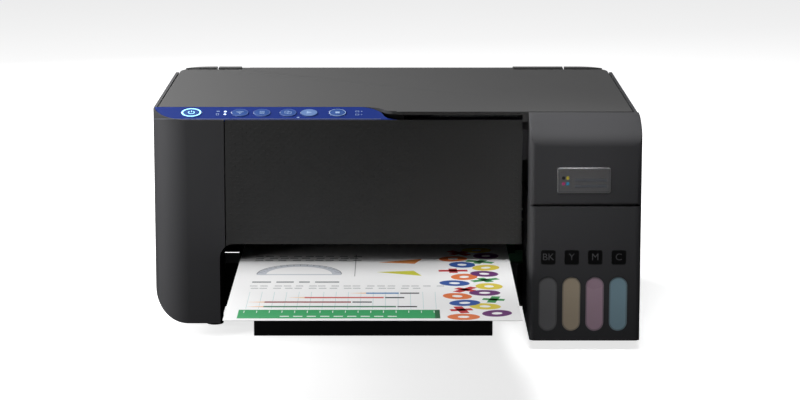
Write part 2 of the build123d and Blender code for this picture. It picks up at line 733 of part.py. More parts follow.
def tank_cap(x):
    """One flip cap with its plug and hinge barrel."""
    base = TANK_INK_TOP + FIT + 5.8
    half = CAP_WIDTH / 2
    front = CAP_HINGE_Y - CAP_LENGTH
    points = [(x - half, front), (x + half, front), (x + half, CAP_HINGE_Y - 3), (x - half, CAP_HINGE_Y - 3)]
    lid = plan(points, [4.5, 4.5, 1.0, 1.0], base, CAP_HINGE_Z + 2.2)
    arm_half = half - 3 - EAR_GAP
    arm = block(
        x - arm_half, x + arm_half, CAP_HINGE_Y - 4, CAP_HINGE_Y, CAP_HINGE_Z - 2.2, CAP_HINGE_Z + 2.2
    )
    barrel = rod(x - arm_half, x + arm_half, CAP_HINGE_Y, CAP_HINGE_Z, 2.2)
    plug = post(x, NECK_Y, base - CAP_PLUG_DEPTH, base + 0.1, CAP_PLUG_R - 1.0)
    tab = block(x - 4, x + 4, front - 1.5, front + 1, base, base + 2)
    cap = lid + arm + barrel + plug + tab
    return cap - rod(x - half, x + half, CAP_HINGE_Y, CAP_HINGE_Z, CAP_PIN_R + SHAFT_CLEAR)


# Scanner unit and lid


def scan_room():
    """The lowest and highest X of the room that the scan bar runs in."""
    half = GLASS_WIDTH / 2 + SCAN_SIDE
    return GLASS_CENTRE_X - half, GLASS_CENTRE_X + half


def scan_pulley_xs():
    """The X of the scan belt's idler and drive pulleys."""
    x0, x1 = scan_room()
    return x0 + 10, x1 - 10


def unit_plan(z0, z1):
    """The scanner unit's plan inside the casing walls and behind the front panel."""
    shape = body_plan(WALL + UNIT_GAP, z0, z1)
    shape -= block(-BODY_HALF, BODY_HALF, SCANNER_BACK, BODY_DEPTH, z0 - 1, z1 + 1)
    shape -= block(-BODY_HALF, BODY_HALF, -1, PANEL_THICK + PANEL_FIT, z0 - 1, z1 + 1)
    shape -= block(-BODY_HALF, CHEEK_RIGHT, -1, PANEL_THICK + 2 * UNIT_GAP, z0 - 1, z1 + 1)
    cheek_side = block(-BODY_HALF, CHEEK_RIGHT, -1, SWING_DEPTH, z0 - 1, z1 + 1)
    return shape - (cheek_side - body_plan(WALL + UNIT_GAP + SWING_ROOM, z0, z1))


def glass_window(grow, z0, z1):
    """The scanned area, made larger all round by grow."""
    half = GLASS_WIDTH / 2 + grow
    x0, x1 = GLASS_CENTRE_X - half, GLASS_CENTRE_X + half
    return block(x0, x1, GLASS_FRONT - grow, GLASS_BACK + grow / 2, z0, z1)


def belt_loop(x0, x1, y, r, z0, z1, thick):
    """A smooth belt round two upright pulleys of radius r."""
    length = x1 - x0
    outer = SlotCenterToCenter(length, 2 * (r + thick))
    inner = SlotCenterToCenter(length, 2 * (r + BELT_CLEAR))
    return Pos((x0 + x1) / 2, y, z0) * extrude(outer - inner, z1 - z0)


def pulley(x, y, z0, z1, r):
    """A flanged pulley on an upright pin."""
    wheel = post(x, y, z0, z1, r)
    flange = 0.8
    wheel += post(x, y, z0 - flange, z0 - BELT_CLEAR, r + 1.6)
    wheel += post(x, y, z0 - BELT_CLEAR, z0, r)
    wheel += post(x, y, z1 + BELT_CLEAR, z1 + flange, r + 1.6)
    wheel += post(x, y, z1, z1 + BELT_CLEAR, r)
    return wheel - post(x, y, z0 - 2, z1 + 2, PIN_R + SHAFT_CLEAR)


def scanner_base():
    base = unit_plan(SCAN_BOTTOM_Z, BEZEL_Z - PANEL_FIT)
    x0, x1 = scan_room()
    floor_z = SCAN_BOTTOM_Z + BASE_WALL
    base -= block(x0, x1, SCAN_BELT_Y - 12, GLASS_BACK + 3, floor_z, BEZEL_Z)
    bore_r = SCANNER_PIN_R + SHAFT_CLEAR
    for x in SCANNER_LUG_XS:
        low, high = x - SCANNER_LUG_WIDTH / 2, x + SCANNER_LUG_WIDTH / 2
        lug = rod(low, high, LID_HINGE_Y, SCANNER_HINGE_Z, SCANNER_PIN_R + LUG_WALL)
        lug += block(low, high, SCANNER_BACK - 1, LID_HINGE_Y, BEZEL_Z - 9, BEZEL_Z - PANEL_FIT)
        base += lug - rod(low - 1, high + 1, LID_HINGE_Y, SCANNER_HINGE_Z, bore_r)
    rail_y0, rail_y1 = SCAN_RAIL_Y - SCAN_RAIL_HALF, SCAN_RAIL_Y + SCAN_RAIL_HALF
    base += block(x0 - 1, x1 + 1, rail_y0, rail_y1, floor_z - 1, floor_z + SCAN_RAIL_HEIGHT)
    idler_x = scan_pulley_xs()[0]
    low_z = SCAN_BELT_LOW - 1.2
    base += post(idler_x, SCAN_BELT_Y, floor_z - 1, low_z, 4)
    base += post(idler_x, SCAN_BELT_Y, floor_z - 1, SCAN_BELT_LOW + SCAN_BELT_HEIGHT + 1.5, PIN_R)
    return base


def scanner_bezel():
    """The flat frame round the glass, under the lid."""
    bezel = unit_plan(BEZEL_Z, GLASS_TOP_Z)
    bezel -= glass_window(0, BEZEL_Z - 1, GLASS_TOP_Z + 1)
    bezel -= glass_window(GLASS_LEDGE, GLASS_TOP_Z - GLASS_THICK - PANEL_FIT, GLASS_TOP_Z + 1)
    button_low = CHEEK_TOP_Z - STRIP_THICK - BUTTON_TRAVEL - 1
    bezel -= block(-BODY_HALF, STRIP_FLAT_END, -1, STRIP_DEPTH - 1, button_low, GLASS_TOP_Z + 1)
    for x in SCANNER_LUG_XS:
        low, high = x - SCANNER_LUG_WIDTH / 2 - FIT, x + SCANNER_LUG_WIDTH / 2 + FIT
        bezel -= block(low, high, SCANNER_BACK - 2, SCANNER_BACK + 1, BEZEL_Z - 1, GLASS_TOP_Z + 1)
    return bezel


def scanner_glass():
    return glass_window(GLASS_LEDGE - PANEL_FIT, GLASS_TOP_Z - GLASS_THICK, GLASS_TOP_Z)


def lid_hinges():
    """Two hinge blocks behind the bezel, each with a pin that a knuckle of the lid turns on."""
    hinges = []
    inner = LID_KNUCKLE_WIDTH / 2 + EAR_GAP
    outer = inner + LID_EAR_WIDTH
    for x in LID_HINGE_XS:
        low_z = BEZEL_Z
        plate = block(x - outer, x + outer, SCANNER_BACK, SCANNER_BACK + 2.4, low_z, GLASS_TOP_Z - 0.5)
        hinge = plate + rod(x - outer, x + outer, LID_HINGE_Y, LID_HINGE_Z, LID_PIN_R)
        for x0 in (x - outer, x + inner):
            x1 = x0 + LID_EAR_WIDTH
            hinge += rod(x0, x1, LID_HINGE_Y, LID_HINGE_Z, LID_EAR_R)
            hinge += block(x0, x1, SCANNER_BACK, LID_HINGE_Y, low_z + 1, LID_HINGE_Z)
        hinges.append(hinge.solid())
    return Compound(hinges)


def lid_plan(z0, z1):
    """The lid's plan: its front left edge makes room for the control strip."""
    x, front = LID_HALF, LID_FRONT_Y
    points = [(-x, front), (x, front), (x, LID_REAR_Y), (-x, LID_REAR_Y)]
    lid = plan(points, [0.5, 1.5, REAR_CORNER_R, REAR_CORNER_R], z0, z1)
    lid -= strip_plan(STRIP_GAP, z0 - 1, z1 + 1)
    corner_y = STRIP_DEPTH + STRIP_GAP
    lid -= block(-BODY_HALF, STRIP_FLAT_END, front - 1, corner_y, z0 - 1, z1 + 1)
    lid -= block(-BODY_HALF, STRIP_TIP, front - 1, STRIP_LIP + 1, z0 - 1, z1 + 1)
    return lid


def document_lid():
    """The lid shell with its side skirt, its raised hinge covers and its knuckles."""
    lid = lid_plan(LID_SKIRT_Z, LID_TOP_Z)
    roof = LID_TOP_Z - LID_TOP_THICK
    skirt_x = LID_HALF - LID_SKIRT
    inner = block(
        -skirt_x, skirt_x, STRIP_DEPTH + STRIP_GAP + LID_SKIRT, LID_REAR_Y + 1, LID_SKIRT_Z - 1, roof
    )
    inner += block(STRIP_TIP + 6, skirt_x, LID_FRONT_Y + LID_SKIRT, STRIP_DEPTH + 10, LID_SKIRT_Z - 1, roof)
    lid -= inner
    lid -= block(-BODY_HALF, PANEL_RIGHT, LID_FRONT_Y - 1, RECESS_DEPTH, LID_SKIRT_Z - 1, RECESS_ROOF_Z)
    for x0, x1, slit_x in HUMPS:
        hump = lid_plan(LID_TOP_Z - 0.5, LID_TOP_Z + HUMP_HEIGHT)
        lid += hump & block(x0, x1, LID_REAR_Y - HUMP_DEPTH, LID_REAR_Y + 1, 0, 300)
        slit_z = LID_TOP_Z + HUMP_HEIGHT - HUMP_SLIT_DEPTH
        half = HUMP_SLIT / 2
        lid -= block(slit_x - half, slit_x + half, LID_REAR_Y - HUMP_DEPTH, LID_REAR_Y + 1, slit_z, 300)
    bore_r = LID_PIN_R + SHAFT_CLEAR
    for x in LID_HINGE_XS:
        x0, x1 = x - LID_KNUCKLE_WIDTH / 2, x + LID_KNUCKLE_WIDTH / 2
        lid += rod(x0, x1, LID_HINGE_Y, LID_HINGE_Z, LID_KNUCKLE_R)
        lid += block(
            x0, x1, LID_HINGE_Y - LID_KNUCKLE_R, LID_HINGE_Y + LID_KNUCKLE_R, LID_HINGE_Z, roof + 0.2
        )
        lid -= rod(x0 - 1, x1 + 1, LID_HINGE_Y, LID_HINGE_Z, bore_r)
    return lid


def lid_pad():
    return glass_window(3, GLASS_TOP_Z + FIT, LID_TOP_Z - LID_TOP_THICK - 0.1)


def scan_bar():
    half = SCAN_BAR_WIDTH / 2
    x0, x1 = SCAN_REST_X - half, SCAN_REST_X + half
    low = SCAN_BOTTOM_Z + BASE_WALL + 1.2
    bar = block(x0, x1, GLASS_FRONT + 3, GLASS_BACK - 3, low, BEZEL_Z - 4)
    groove_half = SCAN_RAIL_HALF + FIT
    groove_top = SCAN_BOTTOM_Z + BASE_WALL + SCAN_RAIL_HEIGHT + FIT
    bar -= block(x0 - 1, x1 + 1, SCAN_RAIL_Y - groove_half, SCAN_RAIL_Y + groove_half, low - 1, groove_top)
    clip_y = SCAN_BELT_Y + SCAN_PULLEY_R + SCAN_BELT_THICK + FIT
    bar += block(x0 + 4, x1 - 4, clip_y, GLASS_FRONT + 4, SCAN_BELT_LOW, SCAN_BELT_LOW + SCAN_BELT_HEIGHT)
    return bar


def scan_belt():
    x0, x1 = scan_pulley_xs()
    high = SCAN_BELT_LOW + SCAN_BELT_HEIGHT
    return belt_loop(x0, x1, SCAN_BELT_Y, SCAN_PULLEY_R, SCAN_BELT_LOW, high, SCAN_BELT_THICK)


def scan_pulley(index):
    x = scan_pulley_xs()[index]
    high = SCAN_BELT_LOW + SCAN_BELT_HEIGHT
    return pulley(x, SCAN_BELT_Y, SCAN_BELT_LOW, high, SCAN_PULLEY_R)


def scan_motor():
    x = scan_pulley_xs()[1]
    low = SCAN_BOTTOM_Z + BASE_WALL
    motor = post(x, SCAN_BELT_Y, low, SCAN_BELT_LOW - 1.4, 8)
    return motor + post(x, SCAN_BELT_Y, low, SCAN_BELT_LOW + SCAN_BELT_HEIGHT + 1.5, PIN_R)


def front_panel():
    """The panel in front of the print engine, with the bay's corner cut out of it."""
    left = CHEEK_RIGHT + PART_GAP
    low = PANEL_BOTTOM_Z - BAY_CORNER_R
    panel = block(left, PANEL_RIGHT, 0, PANEL_THICK, low, CHEEK_TOP_Z)
    panel -= bay_cutter(-1, PANEL_THICK + 1)
    panel -= strip_room()
    rib_x0, rib_x1 = left + 20, PANEL_RIGHT - 20
    panel += block(rib_x0, rib_x1, PANEL_THICK - 0.1, PANEL_THICK + 6, PANEL_BOTTOM_Z, PANEL_BOTTOM_Z + 1.6)
    return panel


def strip_button_place(x):
    """A frame on the control strip's sloping face at one button's centre."""
    y = (STRIP_DEPTH + STRIP_LIP) / 2
    z = CHEEK_TOP_Z + y * math.tan(math.radians(STRIP_ANGLE))
    return Pos(x, y, z) * Rot(STRIP_ANGLE, 0, 0)


def button_radius(name):
    """The power button is larger than the others."""
    return POWER_R if name == "power_button" else BUTTON_R


def control_panel():
    panel = strip_plan(0, 100, 260) & slope_slab(-STRIP_THICK, 0)
    for name, x in BUTTONS.items():
        hole = Cylinder(button_radius(name) + BUTTON_CLEAR, 30)
        panel -= strip_button_place(x) * hole
    return panel


def strip_button(name):
    """One round button that stands slightly proud of the strip."""
    x = BUTTONS[name]
    height = STRIP_THICK + BUTTON_PROUD
    disc = Cylinder(button_radius(name), height)
    disc = fillet(disc.edges().sort_by(Axis.Z)[-1], 0.25)
    return strip_button_place(x) * Pos(0, 0, BUTTON_PROUD - height / 2) * disc


# Output tray and sheet


def output_tray():
    back = TRAY_FRONT + TRAY_LENGTH
    tray = block(TRAY_LEFT, TRAY_RIGHT, TRAY_FRONT, back, TRAY_LOW_Z, TRAY_TOP_Z)
    tray -= block(
        EXT_LEFT - 1.5, EXT_RIGHT + 1.5, TRAY_FRONT - 1, back + 1, TRAY_LOW_Z - 1, TRAY_TOP_Z - TRAY_SKIN
    )
    for x in TRAY_RIBS:
        half = TRAY_RIB / 2
        tray += block(x - half, x + half, TRAY_FRONT + 6, back - 8, TRAY_TOP_Z - 0.5, TRAY_RIB_TOP)
    return tray


def output_tray_extension():
    back = EXT_FRONT + EXT_LENGTH
    high = TRAY_TOP_Z - TRAY_SKIN - FIT
    plate = block(EXT_LEFT, EXT_RIGHT, EXT_FRONT + 1, back, high - EXT_THICK, high)
    bar = block(EXT_LEFT, EXT_RIGHT, EXT_FRONT, EXT_FRONT + EXT_BAR, EXT_BAR_LOW, EXT_BAR_HIGH)
    return plate + bar


def printed_sheet():
    y0 = EXT_FRONT
    sheet = block(
        SHEET_LEFT, SHEET_LEFT + SHEET_WIDTH, y0, y0 + SHEET_LENGTH, PAPER_Z, PAPER_Z + SHEET_THICK
    )
    return sheet


# Print engine


def engine_frame():
    """The bent steel chassis: two cheeks, a rear beam and a front tie."""
    left = block(
        ENGINE_LEFT, ENGINE_LEFT + ENGINE_PLATE, ENGINE_FRONT, ENGINE_BACK, ENGINE_LOW, ENGINE_TOP_Z
    )
    right = block(
        ENGINE_RIGHT - ENGINE_PLATE, ENGINE_RIGHT, ENGINE_FRONT, ENGINE_BACK, ENGINE_LOW, ENGINE_TOP_Z
    )
    beam_y = ENGINE_BACK - ENGINE_PLATE
    beam = block(ENGINE_LEFT, ENGINE_RIGHT, beam_y, ENGINE_BACK, ENGINE_BEAM_Z, ENGINE_TOP_Z)
    y0, y1 = ENGINE_FRONT, ENGINE_BACK
    z0, z1 = ENGINE_LOW, ENGINE_LOW + ENGINE_PLATE
    foot_left = block(ENGINE_LEFT, ENGINE_LEFT + ENGINE_FOOT, y0, y1, z0, z1)
    foot_right = block(ENGINE_RIGHT - ENGINE_FOOT, ENGINE_RIGHT, y0, y1, z0, z1)
    z0, z1 = ENGINE_TIE_Z, ENGINE_TIE_Z + ENGINE_PLATE
    tie = block(ENGINE_LEFT, ENGINE_RIGHT, ENGINE_FRONT, ENGINE_FRONT + ENGINE_TIE_DEPTH, z0, z1)
    y0, y1 = RAIL_Y - RAIL_HALF, RAIL_Y + RAIL_HALF
    rail = block(ENGINE_LEFT, ENGINE_RIGHT, y0, y1, RAIL_Z - RAIL_HALF, RAIL_Z + RAIL_HALF)
    frame = left + right + beam + foot_left + foot_right + tie + rail
    x0, x1 = ENGINE_LEFT - 1, ENGINE_RIGHT + 1
    frame -= rod(x0, x1, EJECT_Y, NIP_Z - EJECT_R, SHAFT_R + SHAFT_CLEAR)
    frame -= rod(x0, x1, FEED_Y, NIP_Z - FEED_R, SHAFT_R + SHAFT_CLEAR)
    frame -= rod(x0, x1, STAR_Y, STAR_Z, STAR_SHAFT_R + SHAFT_CLEAR)
    frame -= rod(x0, ENGINE_LEFT + 4, MOTOR_Y, MOTOR_Z, PIN_R + 0.5)
    return frame


def roller(y, r, x0, x1):
    """A rubber covered roller on a steel shaft that runs in the engine's cheeks."""
    z = NIP_Z - r
    shaft = rod(x0, x1, y, z, SHAFT_R)
    return shaft + rod(ENGINE_LEFT + ENGINE_FOOT + 1, ENGINE_RIGHT - ENGINE_FOOT - 1, y, z, r)


def feed_roller():
    shape = roller(FEED_Y, FEED_R, FEED_BELT_X - 5, ENGINE_RIGHT + 3)
    z = NIP_Z - FEED_R
    shape += rod(FEED_BELT_X - 3.8, FEED_BELT_X - 3, FEED_Y, z, FEED_PULLEY_R + 1.5)
    shape += rod(FEED_BELT_X + 3, FEED_BELT_X + 3.8, FEED_Y, z, FEED_PULLEY_R + 1.5)
    shape += rod(FEED_BELT_X - 3, FEED_BELT_X + 3, FEED_Y, z, FEED_PULLEY_R)
    return shape


def eject_roller():
    return roller(EJECT_Y, EJECT_R, ENGINE_LEFT - 2, ENGINE_RIGHT + 2)


def star_wheels():
    wheels = rod(ENGINE_LEFT - 2, ENGINE_RIGHT + 2, STAR_Y, STAR_Z, STAR_SHAFT_R)
    for x in STAR_XS:
        wheels += rod(x - 0.6, x + 0.6, STAR_Y, STAR_Z, STAR_R - 0.8)
        for i in range(12):
            angle = math.radians(30 * i)
            y = STAR_Y + math.cos(angle) * (STAR_R - 0.9)
            z = STAR_Z + math.sin(angle) * (STAR_R - 0.9)
            tooth = Pos(x, y, z) * Rot(30 * i + 45, 0, 0) * Box(0.6, 1.2, 1.2)
            wheels += tooth
    return wheels


def feed_motor():
    y, z = MOTOR_Y, MOTOR_Z
    x0 = ENGINE_LEFT + ENGINE_PLATE
    body = rod(x0, x0 + 2, y, z, 8) + rod(x0 + 2, x0 + 20, y, z, 8)
    return body + rod(FEED_BELT_X - 5, x0 + 1, y, z, PIN_R)


def feed_pinion():
    y, z = MOTOR_Y, MOTOR_Z
    wheel = rod(FEED_BELT_X - 3.8, FEED_BELT_X + 3.8, y, z, PINION_R)
    wheel += rod(FEED_BELT_X - 3.8, FEED_BELT_X - 3, y, z, PINION_R + 1.2)
    wheel += rod(FEED_BELT_X + 3, FEED_BELT_X + 3.8, y, z, PINION_R + 1.2)
    return wheel - rod(FEED_BELT_X - 8, FEED_BELT_X + 8, y, z, PIN_R + SHAFT_CLEAR)


def feed_belt():
    """The smooth belt from the motor's pinion to the feed roller's pulley."""
    y0, z0 = FEED_Y, NIP_Z - FEED_R
    y1, z1 = MOTOR_Y, MOTOR_Z
    shapes = []
    for extra in (BELT_CLEAR + BELT_THICK, BELT_CLEAR):
        a, b = FEED_PULLEY_R + extra, PINION_R + extra
        distance = math.hypot(y1 - y0, z1 - z0)
        lean = math.asin((a - b) / distance)
        along = math.atan2(z1 - z0, y1 - y0)
        corners = []
        for side in (1, -1):
            turn = along + side * (math.pi / 2 - lean)
            corners.append(((y0 + a * math.cos(turn), z0 + a * math.sin(turn)),
                            (y1 + b * math.cos(turn), z1 + b * math.sin(turn))))
        (p0, p1), (q0, q1) = corners
        back = (y0 - a * math.cos(along), z0 - a * math.sin(along))
        tip = (y1 + b * math.cos(along), z1 + b * math.sin(along))
        edges = [Line(p0, p1), ThreePointArc(p1, tip, q1), Line(q1, q0), ThreePointArc(q0, back, p0)]
        shapes.append(make_face(Wire(edges)))
    ring = shapes[0] - shapes[1]
    half = FEED_BELT_WIDTH / 2 - 0.2
    return extrude(Plane.YZ.offset(FEED_BELT_X - half) * ring, 2 * half)


def platen():
    x0, x1 = ENGINE_LEFT + 16, CARRIAGE_RIGHT - CARRIAGE_WIDTH
    shape = block(x0, x1, EJECT_Y + 9, FEED_Y - 9, ENGINE_LOW + 3.4, NIP_Z - 2.5)
    count = 12
    for i in range(count):
        x = x0 + 6 + i * (x1 - x0 - 12) / (count - 1)
        shape += block(x - 0.7, x + 0.7, EJECT_Y + 11, FEED_Y - 11, NIP_Z - 3, NIP_Z - 1)
    return shape


def carriage_span():
    """The lowest and highest X of the print carriage at rest."""
    return CARRIAGE_RIGHT - CARRIAGE_WIDTH, CARRIAGE_RIGHT


def carriage():
    x0, x1 = carriage_span()
    shell = block(x0, x1, CARRIAGE_FRONT, CARRIAGE_BACK, CARRIAGE_LOW, CARRIAGE_TOP)
    shell -= block(
        x0 + 2, x1 - 2, CARRIAGE_FRONT + 2, RAIL_Y - RAIL_HALF - 5, HEAD_TOP + 0.2, CARRIAGE_TOP + 1
    )
    slot = RAIL_HALF + RAIL_CLEAR
    shell -= block(x0 - 1, x1 + 1, RAIL_Y - slot, RAIL_Y + slot, RAIL_Z - slot, RAIL_Z + slot)
    clip_x, clip_y = (x0 + x1) / 2, BELT_Y - BELT_PULLEY_R + 1.5 - BELT_THICK - FIT
    shell += block(clip_x - 4, clip_x + 4, CARRIAGE_BACK - 0.5, clip_y, BELT_Z, BELT_Z + BELT_HEIGHT)
    shell -= block(
        x0 + 7.8, x1 - 7.8, CARRIAGE_FRONT + 5.8, RAIL_Y - RAIL_HALF - 8.8, CARRIAGE_LOW - 1, HEAD_TOP + 1
    )
    return shell


def print_head():
    """The head block below the carriage with one damper for each colour above it."""
    x0, x1 = carriage_span()
    y0, y1 = CARRIAGE_FRONT + 6, RAIL_Y - RAIL_HALF - 9
    head = block(x0 + 8, x1 - 8, y0, y1, HEAD_LOW, HEAD_TOP)
    width = (x1 - x0 - 20) / TANK_COUNT
    for i in range(TANK_COUNT):
        x = x0 + 10 + i * width
        head += block(x + 0.8, x + width - 0.8, y0 + 2, y1 - 2, HEAD_TOP - 0.5, CARRIAGE_TOP - 8)
    return head


def carriage_belt():
    return belt_loop(
        BELT_LEFT, BELT_RIGHT, BELT_Y, BELT_PULLEY_R - 1.5, BELT_Z, BELT_Z + BELT_HEIGHT, BELT_THICK
    )


def carriage_pulley(x):
    return pulley(x, BELT_Y, BELT_Z, BELT_Z + BELT_HEIGHT, BELT_PULLEY_R - 1.5)


def carriage_motor():
    """The carriage's motor under the right end of its belt."""
    motor = post(BELT_RIGHT, BELT_Y, BELT_Z - 26, BELT_Z - 1.4, 8)
    return motor + post(BELT_RIGHT, BELT_Y, BELT_Z - 2, BELT_Z + BELT_HEIGHT + 1.5, PIN_R)


def belt_idler_post():
    """The idler pulley's bracket on the left of the beam."""
    bracket = block(
        BELT_LEFT - 6, BELT_LEFT + 6, BELT_Y - 4, ENGINE_BACK - ENGINE_PLATE, BELT_Z - 4, BELT_Z - 1.4
    )
    return bracket + post(BELT_LEFT, BELT_Y, BELT_Z - 3, BELT_Z + BELT_HEIGHT + 1.5, PIN_R)


def capping_station():
    """The sprung cap that the head parks on, with its wiper."""
    x0, x1 = carriage_span()
    tub = block(x0 + 4, x1 - 4, CARRIAGE_FRONT + 2, FEED_Y - 9, ENGINE_LOW + 2.4, HEAD_LOW - 1.5)
    tub -= block(x0 + 7, x1 - 12, CARRIAGE_FRONT + 5, FEED_Y - 12, HEAD_LOW - 6, HEAD_LOW)
    return tub


def ink_tubes():
    """The bundle of four ink tubes from the tanks up to the carriage, as one flat ribbon."""
    x0, x1 = carriage_span()
    low, high = CARRIAGE_TOP + 1.0, CARRIAGE_TOP + 3.4
    run = block(x0 + 10, x0 + 22, TANK_BACK + 6, CARRIAGE_FRONT + 20, low, high)
    drop = block(x0 + 10, x0 + 22, TANK_BACK + 6, TANK_BACK + 8.4, TANK_BOTTOM_Z + 30, high)
    return run + drop


# Rear feeder


def support_plate(half, back, low, thick):
    """One upright plate of the paper support with a finger notch in its top edge."""
    high = FEEDER_TOP_Z - 4
    plate = block(-half, half, back - thick, back, low, high)
    notch = spindle(0, high + 6, back - thick - 1, back + 1, 16)
    return plate - notch


def paper_support():
    back = FEEDER_REAR - FEEDER_WALL - SUPPORT_BACK_GAP
    return support_plate(SUPPORT_HALF, back, SUPPORT_LOW, SUPPORT_THICK)


def paper_support_extension():
    back = FEEDER_REAR - FEEDER_WALL - SUPPORT_BACK_GAP - SUPPORT_THICK - SUPPORT_BACK_GAP
    return support_plate(SUPPORT_HALF - 34, back, SUPPORT_LOW + 8, SUPPORT_THICK)


def feeder_guard():
    """The flap that keeps things from falling into the feeder, with its hinge barrels."""
    low = FEEDER_TOP_Z + GUARD_LIFT
    barrel_r = GUARD_THICK / 2
    y0 = FEEDER_FRONT + 1 + barrel_r
    y1 = FEEDER_REAR - FEEDER_WALL - 2 * SUPPORT_THICK - 3 * SUPPORT_BACK_GAP
    half = FEEDER_HALF - FEEDER_WALL - 1
    flap = block(-half, half, y0, y1, low, low + GUARD_THICK)
    flap = fillet(flap.edges().filter_by(Axis.Z).group_by(Axis.Y)[-1], 0.8)
    return flap + rod(-half, half, y0, low + barrel_r, barrel_r)


def hopper_plate():
    y0 = HOPPER_Y - HOPPER_THICK / 2
    plate = block(-96, 96, y0, y0 + HOPPER_THICK, HOPPER_LOW, HOPPER_TOP - 2)
    pad = block(-14, 14, y0 - 0.6, y0, PICKUP_Z - 14, PICKUP_Z + 14)
    return plate + pad + rod(-98, 98, HOPPER_Y, HOPPER_TOP - 2, 2)


def edge_guide():
    back = HOPPER_Y - HOPPER_THICK / 2 - 2 * FIT - 0.6
    front = FEEDER_FRONT + FEEDER_WALL + 0.5
    return block(GUIDE_X, GUIDE_X + GUIDE_THICK, front, back, GUIDE_LOW, GUIDE_HIGH)


def pickup_roller():
    shaft = rod(-60, 60, PICKUP_Y, PICKUP_Z, PICKUP_SHAFT_R)
    tyre = rod(-14, 14, PICKUP_Y, PICKUP_Z, PICKUP_R)
    return shaft + tyre


# Electronics


def power_supply():
    """The mains unit with its two pin inlet through the rear wall."""
    inner_y = BODY_DEPTH - WALL - 1
    x0, x1 = MAINS_X - 24, MAINS_X + 24
    low = CASE_BOTTOM_Z + WALL + 0.2
    box = block(x0, x1, inner_y - 60, inner_y, low, low + 26)
    half = MAINS_WIDTH / 2 - FIT
    inlet = block(
        MAINS_X - half, MAINS_X + half, inner_y - 1, BODY_DEPTH - 0.2, MAINS_LOW + FIT, MAINS_HIGH - FIT
    )
    box += inlet
    mid_z = (MAINS_LOW + MAINS_HIGH) / 2
    slot = block(MAINS_X - 8, MAINS_X + 8, BODY_DEPTH - 12, BODY_DEPTH + 1, mid_z - 2.6, mid_z + 2.6)
    pins = spindle(MAINS_X - 4, mid_z, BODY_DEPTH - 13, BODY_DEPTH - 2, 1)
    pins += spindle(MAINS_X + 4, mid_z, BODY_DEPTH - 13, BODY_DEPTH - 2, 1)
    return box - slot + pins


def main_board():
    """The circuit board with its socket for a data lead."""
    low = CASE_BOTTOM_Z + WALL + 1.0
    inner_y = BODY_DEPTH - WALL - 0.5
    board = block(USB_X - 60, USB_X + 20, inner_y - 55, inner_y, low, low + 1.6)
    half = USB_WIDTH / 2 - FIT
    socket = block(USB_X - half, USB_X + half, inner_y - 15, BODY_DEPTH - 0.2, low + 1.5, USB_HIGH - FIT)
    socket -= block(USB_X - 4.2, USB_X + 4.2, BODY_DEPTH - 9, BODY_DEPTH + 1, low + 3, USB_HIGH - 1.5)
    chips = block(USB_X - 45, USB_X - 31, inner_y - 40, inner_y - 26, low + 1.5, low + 3.4)
    chips += block(USB_X - 22, USB_X - 14, inner_y - 44, inner_y - 32, low + 1.5, low + 3)
    for i in range(3):
        chips += post(USB_X - 52 + 8 * i, inner_y - 10, low + 1.5, low + 12, 3)
    return board + socket + chips


os.makedirs("parts", exist_ok=True)
save("left_housing", left_housing())
save("right_housing", right_housing())
save("rear_housing", rear_housing())
save("base_case", base_case())
save("rubber_feet", rubber_feet())
save("housing_screws", housing_screws())
save("tank_housing", tank_housing())
save("tank_cover", tank_cover())
save("tank_badge", tank_badge())
save("ink_tanks", Compound([ink_tank(x).solid() for x in TANK_XS]))
for name, x in zip(TANK_NAMES, TANK_XS):
    save(f"tank_cap_{name}", tank_cap(x))
save("scanner_base", scanner_base())
save("scanner_bezel", scanner_bezel())
save("scanner_glass", scanner_glass())
save("lid_hinges", lid_hinges())
save("document_lid", document_lid())
save("lid_pad", lid_pad())
save("scan_bar", scan_bar())
save("scan_belt", scan_belt())
save("scan_idler_pulley", scan_pulley(0))
save("scan_drive_pulley", scan_pulley(1))
save("scan_motor", scan_motor())
save("front_panel", front_panel())
save("control_panel", control_panel())
for name in BUTTONS:
    save(name, strip_button(name))
save("output_tray", output_tray())
save("output_tray_extension", output_tray_extension())
save("printed_sheet", printed_sheet())
save("engine_frame", engine_frame() + belt_idler_post())
save("feed_roller", feed_roller())
save("eject_roller", eject_roller())
save("star_wheels", star_wheels())
save("feed_motor", feed_motor())
save("feed_pinion", feed_pinion())
save("feed_belt", feed_belt())
save("platen", platen())
save("carriage", carriage())
save("print_head", print_head())
save("carriage_belt", carriage_belt())
save("carriage_idler_pulley", carriage_pulley(BELT_LEFT))
save("carriage_drive_pulley", carriage_pulley(BELT_RIGHT))
save("carriage_motor", carriage_motor())
save("capping_station", capping_station())
save("ink_tubes", ink_tubes())
save("paper_support", paper_support())
save("paper_support_extension", paper_support_extension())
save("feeder_guard", feeder_guard())
save("hopper_plate", hopper_plate())
save("edge_guide", edge_guide())
save("pickup_roller", pickup_roller())
save("power_supply", power_supply())
save("main_board", main_board())
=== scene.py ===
import json
import math

import bmesh
import bpy
from mathutils import Matrix, Vector

